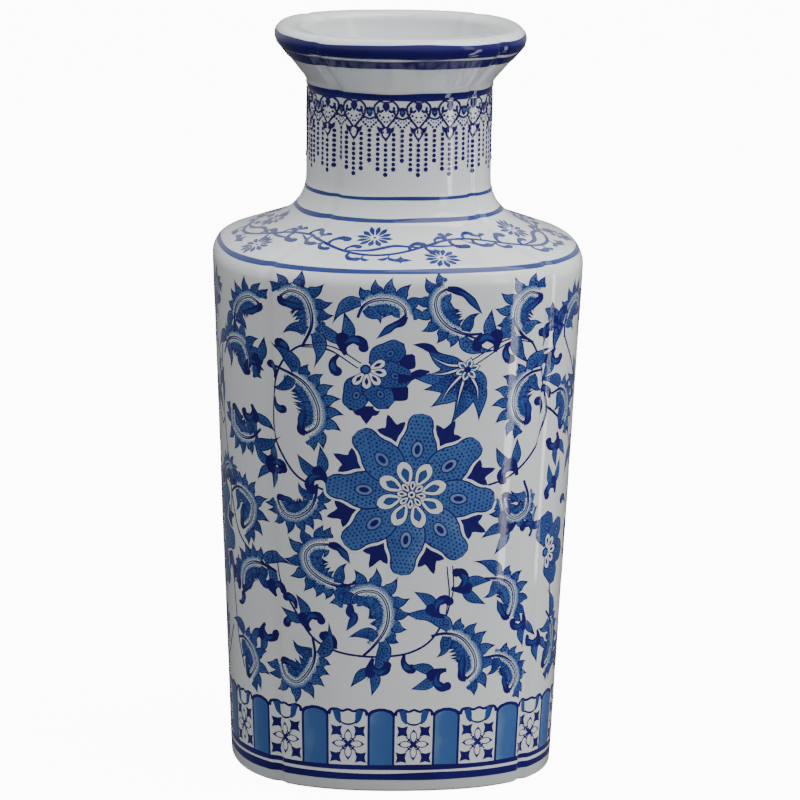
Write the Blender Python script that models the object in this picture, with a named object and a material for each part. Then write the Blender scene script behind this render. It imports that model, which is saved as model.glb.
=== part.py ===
"""Lobed porcelain vase with a tapering body, a sloping shoulder, a straight neck and a rolled mouth.

The vase is pressed in sections that a potter lutes one on another: a foot ring, a floor, the body
wall, the shoulder, the neck and the mouth. Every level cut has four broad panels that meet in a
shallow upright groove at each diagonal. Metres, +Z up, the origin on the ground under the centre.
"""

import math

import bmesh
import bpy

MM = 0.001

# Heights of the sections, from the ground up.
FOOT_RING_HEIGHT = 6.0 * MM
FLOOR_THICKNESS = 6.0 * MM
BODY_WALL_HEIGHT = 232.0 * MM
NECK_HEIGHT = 46.0 * MM
FLARE_HEIGHT = 16.0 * MM
LIP_HEIGHT = 10.0 * MM

# Radii to the middle of a panel.
FOOT_RADIUS = 77.0 * MM
BODY_TOP_RADIUS = 88.5 * MM
NECK_RADIUS = 44.3 * MM
LIP_RADIUS = 60.0 * MM
LIP_HOLE_RADIUS = 45.5 * MM

# Walls.
WALL = 5.5 * MM
FOOT_RING_WIDTH = 9.0 * MM
FOOT_EDGE_RADIUS = 1.6 * MM
SLIP_JOINT = 0.3 * MM

# Shoulder: a rounded edge, a straight slope and a hollow fillet up to the neck.
SHOULDER_EDGE_RADIUS = 10.5 * MM
SHOULDER_SLOPE = math.radians(20.0)
NECK_FILLET_RADIUS = 22.0 * MM
ARC_STEPS = 5

# How far a panel's corner stands out past its middle, as a share of the radius, at four levels.
FOOT_SQUARENESS = 0.065
SHOULDER_SQUARENESS = 0.080
NECK_SQUARENESS = 0.015
LIP_SQUARENESS = 0.035

# The upright grooves at the four diagonals.
GROOVE_DEPTH = 1.8 * MM
GROOVE_HALF_ANGLE = math.radians(3.2)
PANEL_STEPS = 9
GROOVE_SHARES = (0.0, 0.5)
QUARTER = math.pi / 2

PORCELAIN = (0.86, 0.88, 0.90, 1.0)
BARE_PORCELAIN = (0.78, 0.77, 0.74, 1.0)


def clear_scene():
    """Remove every object that the file opened with."""
    for old in list(bpy.data.objects):
        bpy.data.objects.remove(old, do_unlink=True)


def clay(name, colour, roughness):
    """Return a new fired-clay material."""
    material = bpy.data.materials.new(name)
    material.use_nodes = True
    shader = material.node_tree.nodes["Principled BSDF"]
    shader.inputs["Base Color"].default_value = colour
    shader.inputs["Roughness"].default_value = roughness
    shader.inputs["Metallic"].default_value = 0.0
    return material


def panel_angles():
    """Return the angles of one turn, with a middle, two sides and a bottom for each groove."""
    angles = []
    for corner in range(4):
        start = (corner + 0.5) * QUARTER
        angles += [start + share * GROOVE_HALF_ANGLE for share in GROOVE_SHARES]
        first = start + GROOVE_HALF_ANGLE
        span = QUARTER - 2 * GROOVE_HALF_ANGLE
        angles += [first + span * step / PANEL_STEPS for step in range(PANEL_STEPS + 1)]
        angles.append(start + QUARTER - GROOVE_SHARES[1] * GROOVE_HALF_ANGLE)
    return angles


def section_radius(angle, middle, squareness, inset):
    """Return how far the wall stands from the axis at this angle of a level cut."""
    lobe = middle * (1 + squareness * (1 - math.cos(4 * angle)) / 2)
    off_corner = abs((angle % QUARTER) - QUARTER / 2)
    dip = 0.0
    if off_corner < GROOVE_HALF_ANGLE:
        dip = GROOVE_DEPTH * math.cos(QUARTER * off_corner / GROOVE_HALF_ANGLE) ** 2
    return lobe - dip - inset


def blend(low, high, share):
    """Return the value at this share of the way from low to high, held at both ends."""
    return low + (high - low) * min(max(share, 0.0), 1.0)


def arc(centre, radius, start, end, steps):
    """Return points (radius, height) along an arc, ends included, at angles from the level."""
    turns = [start + (end - start) * step / steps for step in range(steps + 1)]
    return [(centre[0] + radius * math.cos(turn), centre[1] + radius * math.sin(turn)) for turn in turns]


# Levels that several sections share.
FLOOR_BASE = FOOT_RING_HEIGHT + SLIP_JOINT
FLOOR_TOP = FLOOR_BASE + FLOOR_THICKNESS
BODY_BASE = FLOOR_TOP + SLIP_JOINT
BODY_TOP = BODY_BASE + BODY_WALL_HEIGHT
SHOULDER_BASE = BODY_TOP + SLIP_JOINT
TAPER = math.atan2(BODY_TOP_RADIUS - FOOT_RADIUS, BODY_TOP)

EDGE_CENTRE = (
    BODY_TOP_RADIUS - SHOULDER_EDGE_RADIUS * math.cos(TAPER),
    SHOULDER_BASE + SHOULDER_EDGE_RADIUS * math.sin(TAPER),
)
EDGE_END = (
    EDGE_CENTRE[0] + SHOULDER_EDGE_RADIUS * math.sin(SHOULDER_SLOPE),
    EDGE_CENTRE[1] + SHOULDER_EDGE_RADIUS * math.cos(SHOULDER_SLOPE),
)
FILLET_START_RADIUS = NECK_RADIUS + NECK_FILLET_RADIUS * (1 - math.sin(SHOULDER_SLOPE))
SLOPE_RISE = (EDGE_END[0] - FILLET_START_RADIUS) * math.tan(SHOULDER_SLOPE)
FILLET_CENTRE = (
    NECK_RADIUS + NECK_FILLET_RADIUS,
    EDGE_END[1] + SLOPE_RISE + NECK_FILLET_RADIUS * math.cos(SHOULDER_SLOPE),
)
SHOULDER_TOP = FILLET_CENTRE[1]
NECK_BASE = SHOULDER_TOP + SLIP_JOINT
NECK_TOP = NECK_BASE + NECK_HEIGHT
MOUTH_BASE = NECK_TOP + SLIP_JOINT
LIP_BASE = MOUTH_BASE + FLARE_HEIGHT
LIP_TOP = LIP_BASE + LIP_HEIGHT


def squareness_at(height):
    """Return how square the section is at this height."""
    if height <= SHOULDER_BASE:
        return blend(FOOT_SQUARENESS, SHOULDER_SQUARENESS, height / SHOULDER_BASE)
    if height <= NECK_TOP:
        rise = (height - SHOULDER_BASE) / (SHOULDER_TOP - SHOULDER_BASE)
        return blend(SHOULDER_SQUARENESS, NECK_SQUARENESS, rise)
    return blend(NECK_SQUARENESS, LIP_SQUARENESS, (height - NECK_TOP) / (LIP_BASE - NECK_TOP))


def body_radius(height):
    """Return the panel radius of the tapering body at this height."""
    return blend(FOOT_RADIUS, BODY_TOP_RADIUS, height / SHOULDER_BASE)


def shoulder_line(offset):
    """Return the shoulder's outline, bottom to top, moved inwards by offset."""
    edge = arc(EDGE_CENTRE, SHOULDER_EDGE_RADIUS - offset, -TAPER, QUARTER - SHOULDER_SLOPE, ARC_STEPS)
    fillet_radius = NECK_FILLET_RADIUS + offset
    fillet = arc(FILLET_CENTRE, fillet_radius, 3 * QUARTER - SHOULDER_SLOPE, 2 * QUARTER, ARC_STEPS)
    return edge + fillet


def ring(mesh, middle, height, inset=0.0):
    """Add one level ring of points and return it."""
    points = []
    for angle in panel_angles():
        reach = section_radius(angle, middle, squareness_at(height), inset)
        points.append(mesh.verts.new((reach * math.cos(angle), reach * math.sin(angle), height)))
    return points


def band(mesh, first, second):
    """Add the strip of faces between two rings, facing right when first runs to second."""
    count = len(first)
    for place in range(count):
        after = (place + 1) % count
        mesh.faces.new((first[place], first[after], second[after], second[place]))


def section_object(name, mesh, material):
    """Turn a filled bmesh into a named object that is shaded smooth except at its edges."""
    bmesh.ops.recalc_face_normals(mesh, faces=mesh.faces)
    data = bpy.data.meshes.new(name)
    mesh.to_mesh(data)
    mesh.free()
    data.materials.append(material)
    data.shade_smooth()
    data.set_sharp_from_angle(angle=math.radians(40))
    made = bpy.data.objects.new(name, data)
    bpy.context.scene.collection.objects.link(made)
    return made


def luted_section(name, outside, inside, material):
    """Model one open section from its outer and inner outlines, each listed bottom to top."""
    mesh = bmesh.new()
    outline = outside + inside[::-1]
    rings = [ring(mesh, middle, height) for middle, height in outline]
    for first, second in zip(rings, rings[1:] + rings[:1]):
        band(mesh, first, second)
    return section_object(name, mesh, material)


def floor_slab(name, material):
    """Model the slab that closes the body, as wide as the body and as thick as the floor."""
    mesh = bmesh.new()
    low = ring(mesh, body_radius(FLOOR_BASE), FLOOR_BASE)
    high = ring(mesh, body_radius(FLOOR_TOP), FLOOR_TOP)
    band(mesh, low, high)
    mesh.faces.new(low)
    mesh.faces.new(high)
    return section_object(name, mesh, material)


def foot_ring(material):
    """Model the ring that the vase stands on, with a rounded outer edge."""
    centre = (body_radius(FOOT_EDGE_RADIUS) - FOOT_EDGE_RADIUS, FOOT_EDGE_RADIUS)
    edge = arc(centre, FOOT_EDGE_RADIUS, -QUARTER, 0.0, ARC_STEPS)
    outside = edge + [(body_radius(FOOT_RING_HEIGHT), FOOT_RING_HEIGHT)]
    inner = body_radius(FOOT_RING_HEIGHT) - FOOT_RING_WIDTH
    return luted_section("foot_ring", outside, [(inner, 0.0), (inner, FOOT_RING_HEIGHT)], material)


def body_wall(material):
    """Model the tapering wall of four panels."""
    outside = [(body_radius(BODY_BASE), BODY_BASE), (body_radius(BODY_TOP), BODY_TOP)]
    inside = [(radius - WALL, height) for radius, height in outside]
    return luted_section("body_wall", outside, inside, material)


def shoulder(material):
    """Model the rounded edge, the slope and the fillet that rises to the neck."""
    return luted_section("shoulder", shoulder_line(0.0), shoulder_line(WALL), material)


def neck(material):
    """Model the straight neck."""
    outside = [(NECK_RADIUS, NECK_BASE), (NECK_RADIUS, NECK_TOP)]
    inside = [(NECK_RADIUS - WALL, NECK_BASE), (NECK_RADIUS - WALL, NECK_TOP)]
    return luted_section("neck", outside, inside, material)


def mouth_lip(material):
    """Model the flare and the thick rolled lip with its level crest."""
    roll = LIP_HEIGHT / 2
    centre = (LIP_RADIUS - roll, LIP_BASE + roll)
    outer_roll = arc(centre, roll, -QUARTER / 2, QUARTER, 2 * ARC_STEPS)
    inner_centre = (LIP_HOLE_RADIUS + roll, LIP_TOP - roll)
    inner_roll = arc(inner_centre, roll, 2 * QUARTER, QUARTER, ARC_STEPS)
    outside = [(NECK_RADIUS, MOUTH_BASE)] + outer_roll
    inside = [(NECK_RADIUS - WALL, MOUTH_BASE)] + inner_roll
    return luted_section("mouth_lip", outside, inside, material)


def main():
    """Build the vase from the ground up."""
    clear_scene()
    foot_ring(clay("bare_foot", BARE_PORCELAIN, 0.6))
    floor_slab("base_floor", clay("floor_glaze", PORCELAIN, 0.12))
    body_wall(clay("body_glaze", PORCELAIN, 0.08))
    shoulder(clay("shoulder_glaze", PORCELAIN, 0.08))
    neck(clay("neck_glaze", PORCELAIN, 0.08))
    mouth_lip(clay("mouth_glaze", PORCELAIN, 0.08))


main()
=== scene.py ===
"""Four-panelled porcelain vase, painted in cobalt blue under a clear glossy glaze.

The glazed body is one pressed form with a shallow groove at each corner. The painting lies in the
glaze as thin films: a watery wash, a dark line, small dots and the white that is left between them.
Every film is drawn flat in millimetres, as a potter's pattern is, and then wrapped on the form.
Lengths of the form are in metres, +Z up.
"""

import logging
import math
import random
from collections.abc import Sequence
from dataclasses import dataclass, field
from enum import Enum

import bmesh
import bpy
import numpy as np
from mathutils import Matrix, Vector

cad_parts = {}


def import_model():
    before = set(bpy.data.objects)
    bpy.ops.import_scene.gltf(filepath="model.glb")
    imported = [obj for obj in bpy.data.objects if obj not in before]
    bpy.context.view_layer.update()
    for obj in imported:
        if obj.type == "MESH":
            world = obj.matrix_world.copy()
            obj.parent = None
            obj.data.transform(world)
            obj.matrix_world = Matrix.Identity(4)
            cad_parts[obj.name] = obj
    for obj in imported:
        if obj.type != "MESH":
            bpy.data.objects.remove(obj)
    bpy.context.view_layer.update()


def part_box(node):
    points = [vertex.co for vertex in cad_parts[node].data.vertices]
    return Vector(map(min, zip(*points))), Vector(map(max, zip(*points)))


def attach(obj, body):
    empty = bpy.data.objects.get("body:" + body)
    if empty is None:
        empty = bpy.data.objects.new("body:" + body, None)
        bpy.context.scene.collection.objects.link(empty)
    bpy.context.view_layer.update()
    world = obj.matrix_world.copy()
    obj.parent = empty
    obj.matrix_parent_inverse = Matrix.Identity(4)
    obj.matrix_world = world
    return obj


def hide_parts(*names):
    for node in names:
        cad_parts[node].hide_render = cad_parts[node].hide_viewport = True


LOG = logging.getLogger("vase")
MM = 0.001
QUARTER = math.pi / 2
CLAY_SMOOTH = math.radians(50.0)
FILM_SMOOTH = math.radians(35.0)
Point = tuple[float, float]


class Tone(Enum):
    """The four things that a painter leaves on the clay."""

    WASH = "wash"
    LINE = "line"
    DOTS = "dots"
    SLIP = "white"


# ---------------------------------------------------------------------------------------------
# The form
# ---------------------------------------------------------------------------------------------


def arc(centre: Point, radius: float, start: float, end: float, steps: int) -> list[Point]:
    """Return points along an arc.

    Args:
        centre: Middle of the arc, as (radius, height).
        radius: Radius of the arc.
        start: First angle from the level, in radians.
        end: Last angle from the level, in radians.
        steps: Number of equal steps.

    Returns:
        The points, ends included.
    """
    turns = [start + (end - start) * step / steps for step in range(steps + 1)]
    return [(centre[0] + radius * math.cos(t), centre[1] + radius * math.sin(t)) for t in turns]


@dataclass
class Form:
    """The shape that the clay and the painting share: an outline and a four-lobed level cut."""

    foot_radius: float
    body_top_radius: float
    neck_radius: float
    lip_radius: float
    base_height: float
    floor_top: float
    shoulder_base: float
    shoulder_top: float
    neck_top: float
    lip_top: float
    wall: float = 5.5 * MM
    edge_radius: float = 10.5 * MM
    slope: float = math.radians(20.0)
    fillet_radius: float = 22.0 * MM
    flare_height: float = 16.3 * MM
    flare_bend: float = 8.0 * MM
    lip_roll: float = 5.0 * MM
    hole_radius: float = 45.5 * MM
    foot_squareness: float = 0.065
    shoulder_squareness: float = 0.080
    neck_squareness: float = 0.030
    lip_squareness: float = 0.070
    groove_depth: float = 1.7 * MM
    groove_half: float = math.radians(3.2)
    groove_reach: float = 4.8 * MM
    groove_steps: int = 5
    panel_steps: int = 60
    arc_steps: int = 14
    ring_step: float = 7.0 * MM
    outline: list[Point] = field(default_factory=list)
    runs: list[float] = field(default_factory=list)

    def __post_init__(self) -> None:
        """Work out the outer outline and how far along it each point lies."""
        self.outline = self.outer_outline()
        self.runs = [0.0]
        for before, after in zip(self.outline, self.outline[1:]):
            self.runs.append(self.runs[-1] + math.dist(before, after))

    @classmethod
    def from_frame(cls) -> "Form":
        """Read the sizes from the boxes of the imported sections."""
        body, neck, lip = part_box("body_wall")[1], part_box("neck")[1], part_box("mouth_lip")[1]
        return cls(
            foot_radius=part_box("foot_ring")[1].x,
            body_top_radius=body.x,
            neck_radius=neck.x,
            lip_radius=lip.x,
            base_height=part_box("foot_ring")[1].z,
            floor_top=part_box("base_floor")[1].z,
            shoulder_base=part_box("shoulder")[0].z,
            shoulder_top=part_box("shoulder")[1].z,
            neck_top=neck.z,
            lip_top=lip.z,
        )

    @property
    def taper(self) -> float:
        """Return how far the body wall leans out, in radians."""
        return math.atan2(self.body_top_radius - self.foot_radius, self.shoulder_base)

    def body_radius(self, height: float) -> float:
        """Return the radius to a panel's middle at this height of the body."""
        share = min(max(height / self.shoulder_base, 0.0), 1.0)
        return self.foot_radius + (self.body_top_radius - self.foot_radius) * share

    def shoulder_points(self, offset: float) -> list[Point]:
        """Return the shoulder's outline, bottom to top, moved inwards by offset.

        Args:
            offset: How far inwards, in metres.

        Returns:
            The points.
        """
        edge = (
            self.body_top_radius - self.edge_radius * math.cos(self.taper),
            self.shoulder_base + self.edge_radius * math.sin(self.taper),
        )
        fillet = (self.neck_radius + self.fillet_radius, self.shoulder_top)
        steps = self.arc_steps
        rounded = arc(edge, self.edge_radius - offset, -self.taper, QUARTER - self.slope, steps)
        hollow = arc(fillet, self.fillet_radius + offset, 3 * QUARTER - self.slope, 2 * QUARTER, steps)
        return rounded + spaced(rounded[-1], hollow[0], self.ring_step) + hollow

    def outer_outline(self) -> list[Point]:
        """Return the outer outline from the ground to the crest of the lip."""
        start = (self.body_radius(0.0), 0.0)
        top = (self.body_radius(self.shoulder_base), self.shoulder_base)
        shoulder = self.shoulder_points(0.0)
        points = [start] + spaced(start, top, self.ring_step) + shoulder
        neck_foot = shoulder[-1]
        corner = (self.neck_radius, self.neck_top)
        roll = (self.lip_radius - self.lip_roll, self.lip_top - self.lip_roll)
        rolled = arc(roll, self.lip_roll, -QUARTER / 2, QUARTER, self.arc_steps)
        lean = math.atan2(rolled[0][0] - corner[0], rolled[0][1] - corner[1])
        reach = self.flare_bend * math.tan(lean / 2)
        bend_foot = (corner[0], corner[1] - reach)
        middle = (corner[0] + self.flare_bend, bend_foot[1])
        bend = arc(middle, self.flare_bend, 2 * QUARTER, 2 * QUARTER - lean, 5)
        points += spaced(neck_foot, bend_foot, self.ring_step) + bend
        return points + spaced(bend[-1], rolled[0], 4 * MM) + rolled

    def inner_outline(self) -> list[Point]:
        """Return the outline of the inside, from the crest of the lip down to the floor's edge."""
        crest = (self.hole_radius + self.lip_roll, self.lip_top - self.lip_roll)
        roll = arc(crest, self.lip_roll, QUARTER, 2 * QUARTER, self.arc_steps // 2)
        throat = (self.neck_radius - self.wall, self.neck_top)
        shoulder = self.shoulder_points(self.wall)[::-1]
        floor_radius = self.body_radius(self.floor_top) - self.wall
        bend = 6 * MM
        bottom = arc((floor_radius - bend, self.floor_top + bend), bend, 0.0, -QUARTER, 5)
        points = roll + spaced(roll[-1], throat, 4 * MM) + [throat]
        points += spaced(throat, shoulder[0], self.ring_step) + shoulder
        return points + spaced(shoulder[-1], bottom[0], 2 * self.ring_step) + bottom

    def squareness(self, height: np.ndarray) -> np.ndarray:
        """Return how square the level cut is at these heights.

        Args:
            height: Heights above the ground.

        Returns:
            The squareness at each.
        """
        levels = [
            0.0, self.shoulder_base, self.shoulder_top, self.neck_top, self.neck_top + self.flare_height
        ]
        values = [self.foot_squareness, self.shoulder_squareness] + [self.neck_squareness] * 2
        return np.interp(height, levels, values + [self.lip_squareness])

    def section(self, angle: np.ndarray, middle: np.ndarray, height: np.ndarray) -> np.ndarray:
        """Return how far the wall stands from the axis.

        Args:
            angle: Angle round the axis, in radians.
            middle: Radius to a panel's middle.
            height: Height above the ground.

        Returns:
            The reach at each place.
        """
        lobe = middle * (1 + self.squareness(height) * (1 - np.cos(4 * angle)) / 2)
        off = np.abs(np.mod(angle, QUARTER) - QUARTER / 2)
        half = self.groove_reach / np.maximum(middle, 1 * MM)
        dip = np.where(off < half, np.cos(QUARTER * np.minimum(off / half, 1.0)) ** 2, 0.0)
        fade = np.clip((middle - 15 * MM) / (20 * MM), 0.0, 1.0)
        return lobe - self.groove_depth * dip * fade

    def ring_angles(self) -> list[float]:
        """Return the angles of one turn, closer together in the grooves."""
        angles = []
        for corner in range(4):
            start = (corner - 0.5) * QUARTER
            fine = self.groove_half / self.groove_steps
            wide = (QUARTER - 2 * self.groove_half) / self.panel_steps
            angles += [start + fine * step for step in range(self.groove_steps)]
            angles += [start + self.groove_half + wide * step for step in range(self.panel_steps)]
            angles += [start + QUARTER - fine * step for step in range(self.groove_steps, 0, -1)]
        return angles

    def run_at(self, height: float) -> float:
        """Return how far along the outer outline this height lies."""
        return float(np.interp(height, [z for _, z in self.outline], self.runs))

    def place(self, angle: np.ndarray, run: np.ndarray, lift: np.ndarray) -> np.ndarray:
        """Return points on the outside of the form.

        Args:
            angle: Angle round the axis, in radians.
            run: Distance along the outline from the ground.
            lift: Height above the surface, along its normal.

        Returns:
            An array of points, one to a row.
        """

        def at(turn: np.ndarray, along: np.ndarray) -> np.ndarray:
            """Return the points of the surface itself."""
            middle = np.interp(along, self.runs, [r for r, _ in self.outline])
            height = np.interp(along, self.runs, [z for _, z in self.outline])
            reach = self.section(turn, middle, height)
            return np.stack([reach * np.cos(turn), reach * np.sin(turn), height], axis=1)

        def raised(turn: np.ndarray) -> np.ndarray:
            """Return the points lifted along the normal."""
            across = at(turn + 0.004, run) - at(turn - 0.004, run)
            upward = at(turn, run + 0.4 * MM) - at(turn, run - 0.4 * MM)
            normal = np.cross(across, upward)
            return at(turn, run) + normal * (lift / np.linalg.norm(normal, axis=1))[:, None]

        creases = np.array(self.ring_angles() + [self.ring_angles()[0] + 4 * QUARTER])
        inside = np.mod(angle - creases[0], 4 * QUARTER) + creases[0]
        after = np.clip(np.searchsorted(creases, inside, "right"), 1, len(creases) - 1)
        share = ((inside - creases[after - 1]) / (creases[after] - creases[after - 1]))[:, None]
        return raised(creases[after - 1]) * (1 - share) + raised(creases[after]) * share


def spaced(start: Point, end: Point, step: float) -> list[Point]:
    """Return the points strictly between two others, no more than a step apart.

    Args:
        start: First point, left out.
        end: Last point, left out.
        step: Greatest distance.

    Returns:
        The points between.
    """
    count = max(1, math.ceil(math.dist(start, end) / step))
    shares = [part / count for part in range(1, count)]
    return [(start[0] + (end[0] - start[0]) * s, start[1] + (end[1] - start[1]) * s) for s in shares]


# ---------------------------------------------------------------------------------------------
# Finishes
# ---------------------------------------------------------------------------------------------


@dataclass(frozen=True)
class Gloss:
    """How the clear glaze shines, the same over clay and paint."""

    roughness: float = 0.07
    coat: float = 0.35
    coat_roughness: float = 0.03
    specular: float = 0.5
    wave_scale: float = 38.0
    wave_depth: float = 0.10 * MM

    def apply(self, material: bpy.types.Material) -> bpy.types.ShaderNode:
        """Set the shine and the slow waves of the glaze.

        Args:
            material: The material to finish.

        Returns:
            Its shader node.
        """
        nodes, links = material.node_tree.nodes, material.node_tree.links
        shader = nodes["Principled BSDF"]
        shader.inputs["Roughness"].default_value = self.roughness
        shader.inputs["Specular IOR Level"].default_value = self.specular
        shader.inputs["Coat Weight"].default_value = self.coat
        shader.inputs["Coat Roughness"].default_value = self.coat_roughness
        place = nodes.new("ShaderNodeTexCoord")
        wave = nodes.new("ShaderNodeTexNoise")
        wave.inputs["Scale"].default_value = self.wave_scale
        wave.inputs["Detail"].default_value = 1.0
        bump = nodes.new("ShaderNodeBump")
        bump.inputs["Strength"].default_value = 0.5
        bump.inputs["Distance"].default_value = self.wave_depth
        links.new(place.outputs["Object"], wave.inputs["Vector"])
        links.new(wave.outputs["Fac"], bump.inputs["Height"])
        links.new(bump.outputs["Normal"], shader.inputs["Normal"])
        return shader


@dataclass(frozen=True)
class Finish:
    """A colour that drifts between three tones under the clear glaze."""

    name: str
    pale: tuple[float, float, float]
    middle: tuple[float, float, float]
    deep: tuple[float, float, float]
    drift_scale: float = 60.0
    drift: float = 0.35
    reads_pool: bool = False
    gloss: Gloss = Gloss()

    def make(self) -> bpy.types.Material:
        """Build the material.

        Returns:
            The material, with its colour mixed from noise and, for a wash, from its pool.
        """
        material = bpy.data.materials.new(self.name)
        material.use_nodes = True
        nodes, links = material.node_tree.nodes, material.node_tree.links
        shader = self.gloss.apply(material)
        place = nodes.new("ShaderNodeTexCoord")
        noise = nodes.new("ShaderNodeTexNoise")
        noise.inputs["Scale"].default_value = self.drift_scale
        noise.inputs["Detail"].default_value = 3.0
        links.new(place.outputs["Object"], noise.inputs["Vector"])
        level = nodes.new("ShaderNodeMath")
        level.operation = "MULTIPLY_ADD"
        level.inputs[1].default_value = self.drift
        level.inputs[2].default_value = 0.5 - self.drift / 2
        links.new(noise.outputs["Fac"], level.inputs[0])
        if self.reads_pool:
            pool = nodes.new("ShaderNodeAttribute")
            pool.attribute_name = "pool"
            offset = nodes.new("ShaderNodeMath")
            offset.operation = "SUBTRACT"
            offset.inputs[1].default_value = 0.5
            links.new(pool.outputs["Fac"], offset.inputs[0])
            total = nodes.new("ShaderNodeMath")
            total.operation = "ADD"
            links.new(level.outputs[0], total.inputs[0])
            links.new(offset.outputs[0], total.inputs[1])
            level = total
        ramp = nodes.new("ShaderNodeValToRGB")
        ramp.color_ramp.elements[0].color = (*self.pale, 1.0)
        ramp.color_ramp.elements[1].color = (*self.deep, 1.0)
        ramp.color_ramp.elements.new(0.5).color = (*self.middle, 1.0)
        links.new(level.outputs[0], ramp.inputs["Fac"])
        links.new(ramp.outputs["Color"], shader.inputs["Base Color"])
        return material


UNDER_GLAZE = Gloss(coat=0.12, specular=0.25)
PORCELAIN = Finish("glazed_porcelain", (0.75, 0.78, 0.79), (0.80, 0.82, 0.825), (0.84, 0.85, 0.85), 9.0, 0.8)
WASH = Finish(
    "cobalt_wash", (0.62, 0.73, 0.80), (0.055, 0.138, 0.360), (0.012, 0.020, 0.180), 55.0, 0.22, True,
    UNDER_GLAZE
)
LINE = Finish(
    "cobalt_line", (0.018, 0.026, 0.220), (0.014, 0.009, 0.125), (0.011, 0.005, 0.070), 45.0, 0.9, False,
    UNDER_GLAZE
)


@dataclass(frozen=True)
class BareFoot:
    """Glaze down to a wiped edge, and bare fired clay where the vase stands; the glaze there is painted a
    darker grey than the body's, as painted shade on the foot.
    """

    # painted shade: the foot's glaze is a darker grey than the body's porcelain, standing in for the shadow
    # on the foot
    glaze_in_painted_shade: tuple[float, float, float] = (0.58, 0.60, 0.61)
    bare: tuple[float, float, float] = (0.66, 0.63, 0.57)
    wiped_height: float = 1.7 * MM
    blur: float = 0.5 * MM

    def make(self) -> bpy.types.Material:
        """Build the material, which changes at the wiped edge."""
        material = bpy.data.materials.new("bare_foot")
        material.use_nodes = True
        nodes, links = material.node_tree.nodes, material.node_tree.links
        shader = nodes["Principled BSDF"]
        place = nodes.new("ShaderNodeTexCoord")
        split = nodes.new("ShaderNodeSeparateXYZ")
        noise = nodes.new("ShaderNodeTexNoise")
        noise.inputs["Scale"].default_value = 240.0
        rise = nodes.new("ShaderNodeMath")
        rise.operation = "MULTIPLY_ADD"
        rise.inputs[1].default_value = 1 / self.blur
        rise.inputs[2].default_value = -self.wiped_height / self.blur
        edge = nodes.new("ShaderNodeMath")
        edge.operation = "ADD"
        edge.use_clamp = True
        links.new(place.outputs["Object"], split.inputs["Vector"])
        links.new(place.outputs["Object"], noise.inputs["Vector"])
        links.new(split.outputs["Z"], rise.inputs[0])
        links.new(rise.outputs[0], edge.inputs[0])
        links.new(noise.outputs["Fac"], edge.inputs[1])
        # B is the painted-shade grey of the glaze, A the bare clay below the wiped edge
        colour = nodes.new("ShaderNodeMix")
        colour.data_type = "RGBA"
        colour.inputs["A"].default_value = (*self.bare, 1.0)
        colour.inputs["B"].default_value = (*self.glaze_in_painted_shade, 1.0)
        rough = nodes.new("ShaderNodeMapRange")
        rough.inputs["To Min"].default_value = 0.75
        rough.inputs["To Max"].default_value = 0.09
        links.new(edge.outputs[0], colour.inputs["Factor"])
        links.new(colour.outputs["Result"], shader.inputs["Base Color"])
        links.new(edge.outputs[0], rough.inputs["Value"])
        links.new(rough.outputs["Result"], shader.inputs["Roughness"])
        return material


# ---------------------------------------------------------------------------------------------
# Flat drawings
# ---------------------------------------------------------------------------------------------


def flowing(points: Sequence[Point], widths: list[float], step: float) -> tuple[np.ndarray, np.ndarray]:
    """Run a smooth line through a few points.

    Args:
        points: Points that the line passes through.
        widths: Half width of the line, spread evenly over its length.
        step: Greatest distance between the points that come back.

    Returns:
        The points of the line and the half width at each.
    """
    knots = np.array(points, float)
    if len(knots) > 2:
        padded = np.vstack([2 * knots[0] - knots[1], knots, 2 * knots[-1] - knots[-2]])
        pieces = []
        for p0, p1, p2, p3 in zip(padded, padded[1:], padded[2:], padded[3:]):
            count = max(2, math.ceil(float(np.linalg.norm(p2 - p1)) / step))
            t = (np.arange(count) / count)[:, None]
            pieces.append(
                0.5 * (2 * p1 + (p2 - p0) * t + (2 * p0 - 5 * p1 + 4 * p2 - p3) * t**2
                       + (3 * p1 - p0 - 3 * p2 + p3) * t**3)
            )
        line = np.vstack(pieces + [knots[-1:]])
    else:
        count = max(len(widths) * 2, math.ceil(float(np.linalg.norm(knots[1] - knots[0])) / step), 2)
        t = (np.arange(count + 1) / count)[:, None]
        line = knots[0] + (knots[1] - knots[0]) * t
    along = np.concatenate([[0.0], np.cumsum(np.linalg.norm(np.diff(line, axis=0), axis=1))])
    share = along / max(along[-1], 1e-9) * (len(widths) - 1)
    low = np.clip(share.astype(int), 0, max(len(widths) - 2, 0))
    part = share - low
    values = np.array(widths, float)
    if len(values) == 1:
        return line, np.full(len(line), values[0])
    padded = np.concatenate([[values[0]], values, [values[-1]]])
    w0, w1, w2, w3 = (padded[low + k] for k in range(4))
    smooth = 0.5 * (2 * w1 + (w2 - w0) * part + (2 * w0 - 5 * w1 + 4 * w2 - w3) * part**2
                    + (3 * w1 - w0 - 3 * w2 + w3) * part**3)
    return line, np.clip(smooth, 0.0, None)


@dataclass
class Film:
    """The flat faces of one tone: points of (across, up, lift, pool) and the faces on them."""

    points: list[tuple[float, float, float, float]] = field(default_factory=list)
    faces: list[tuple[int, ...]] = field(default_factory=list)


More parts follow.
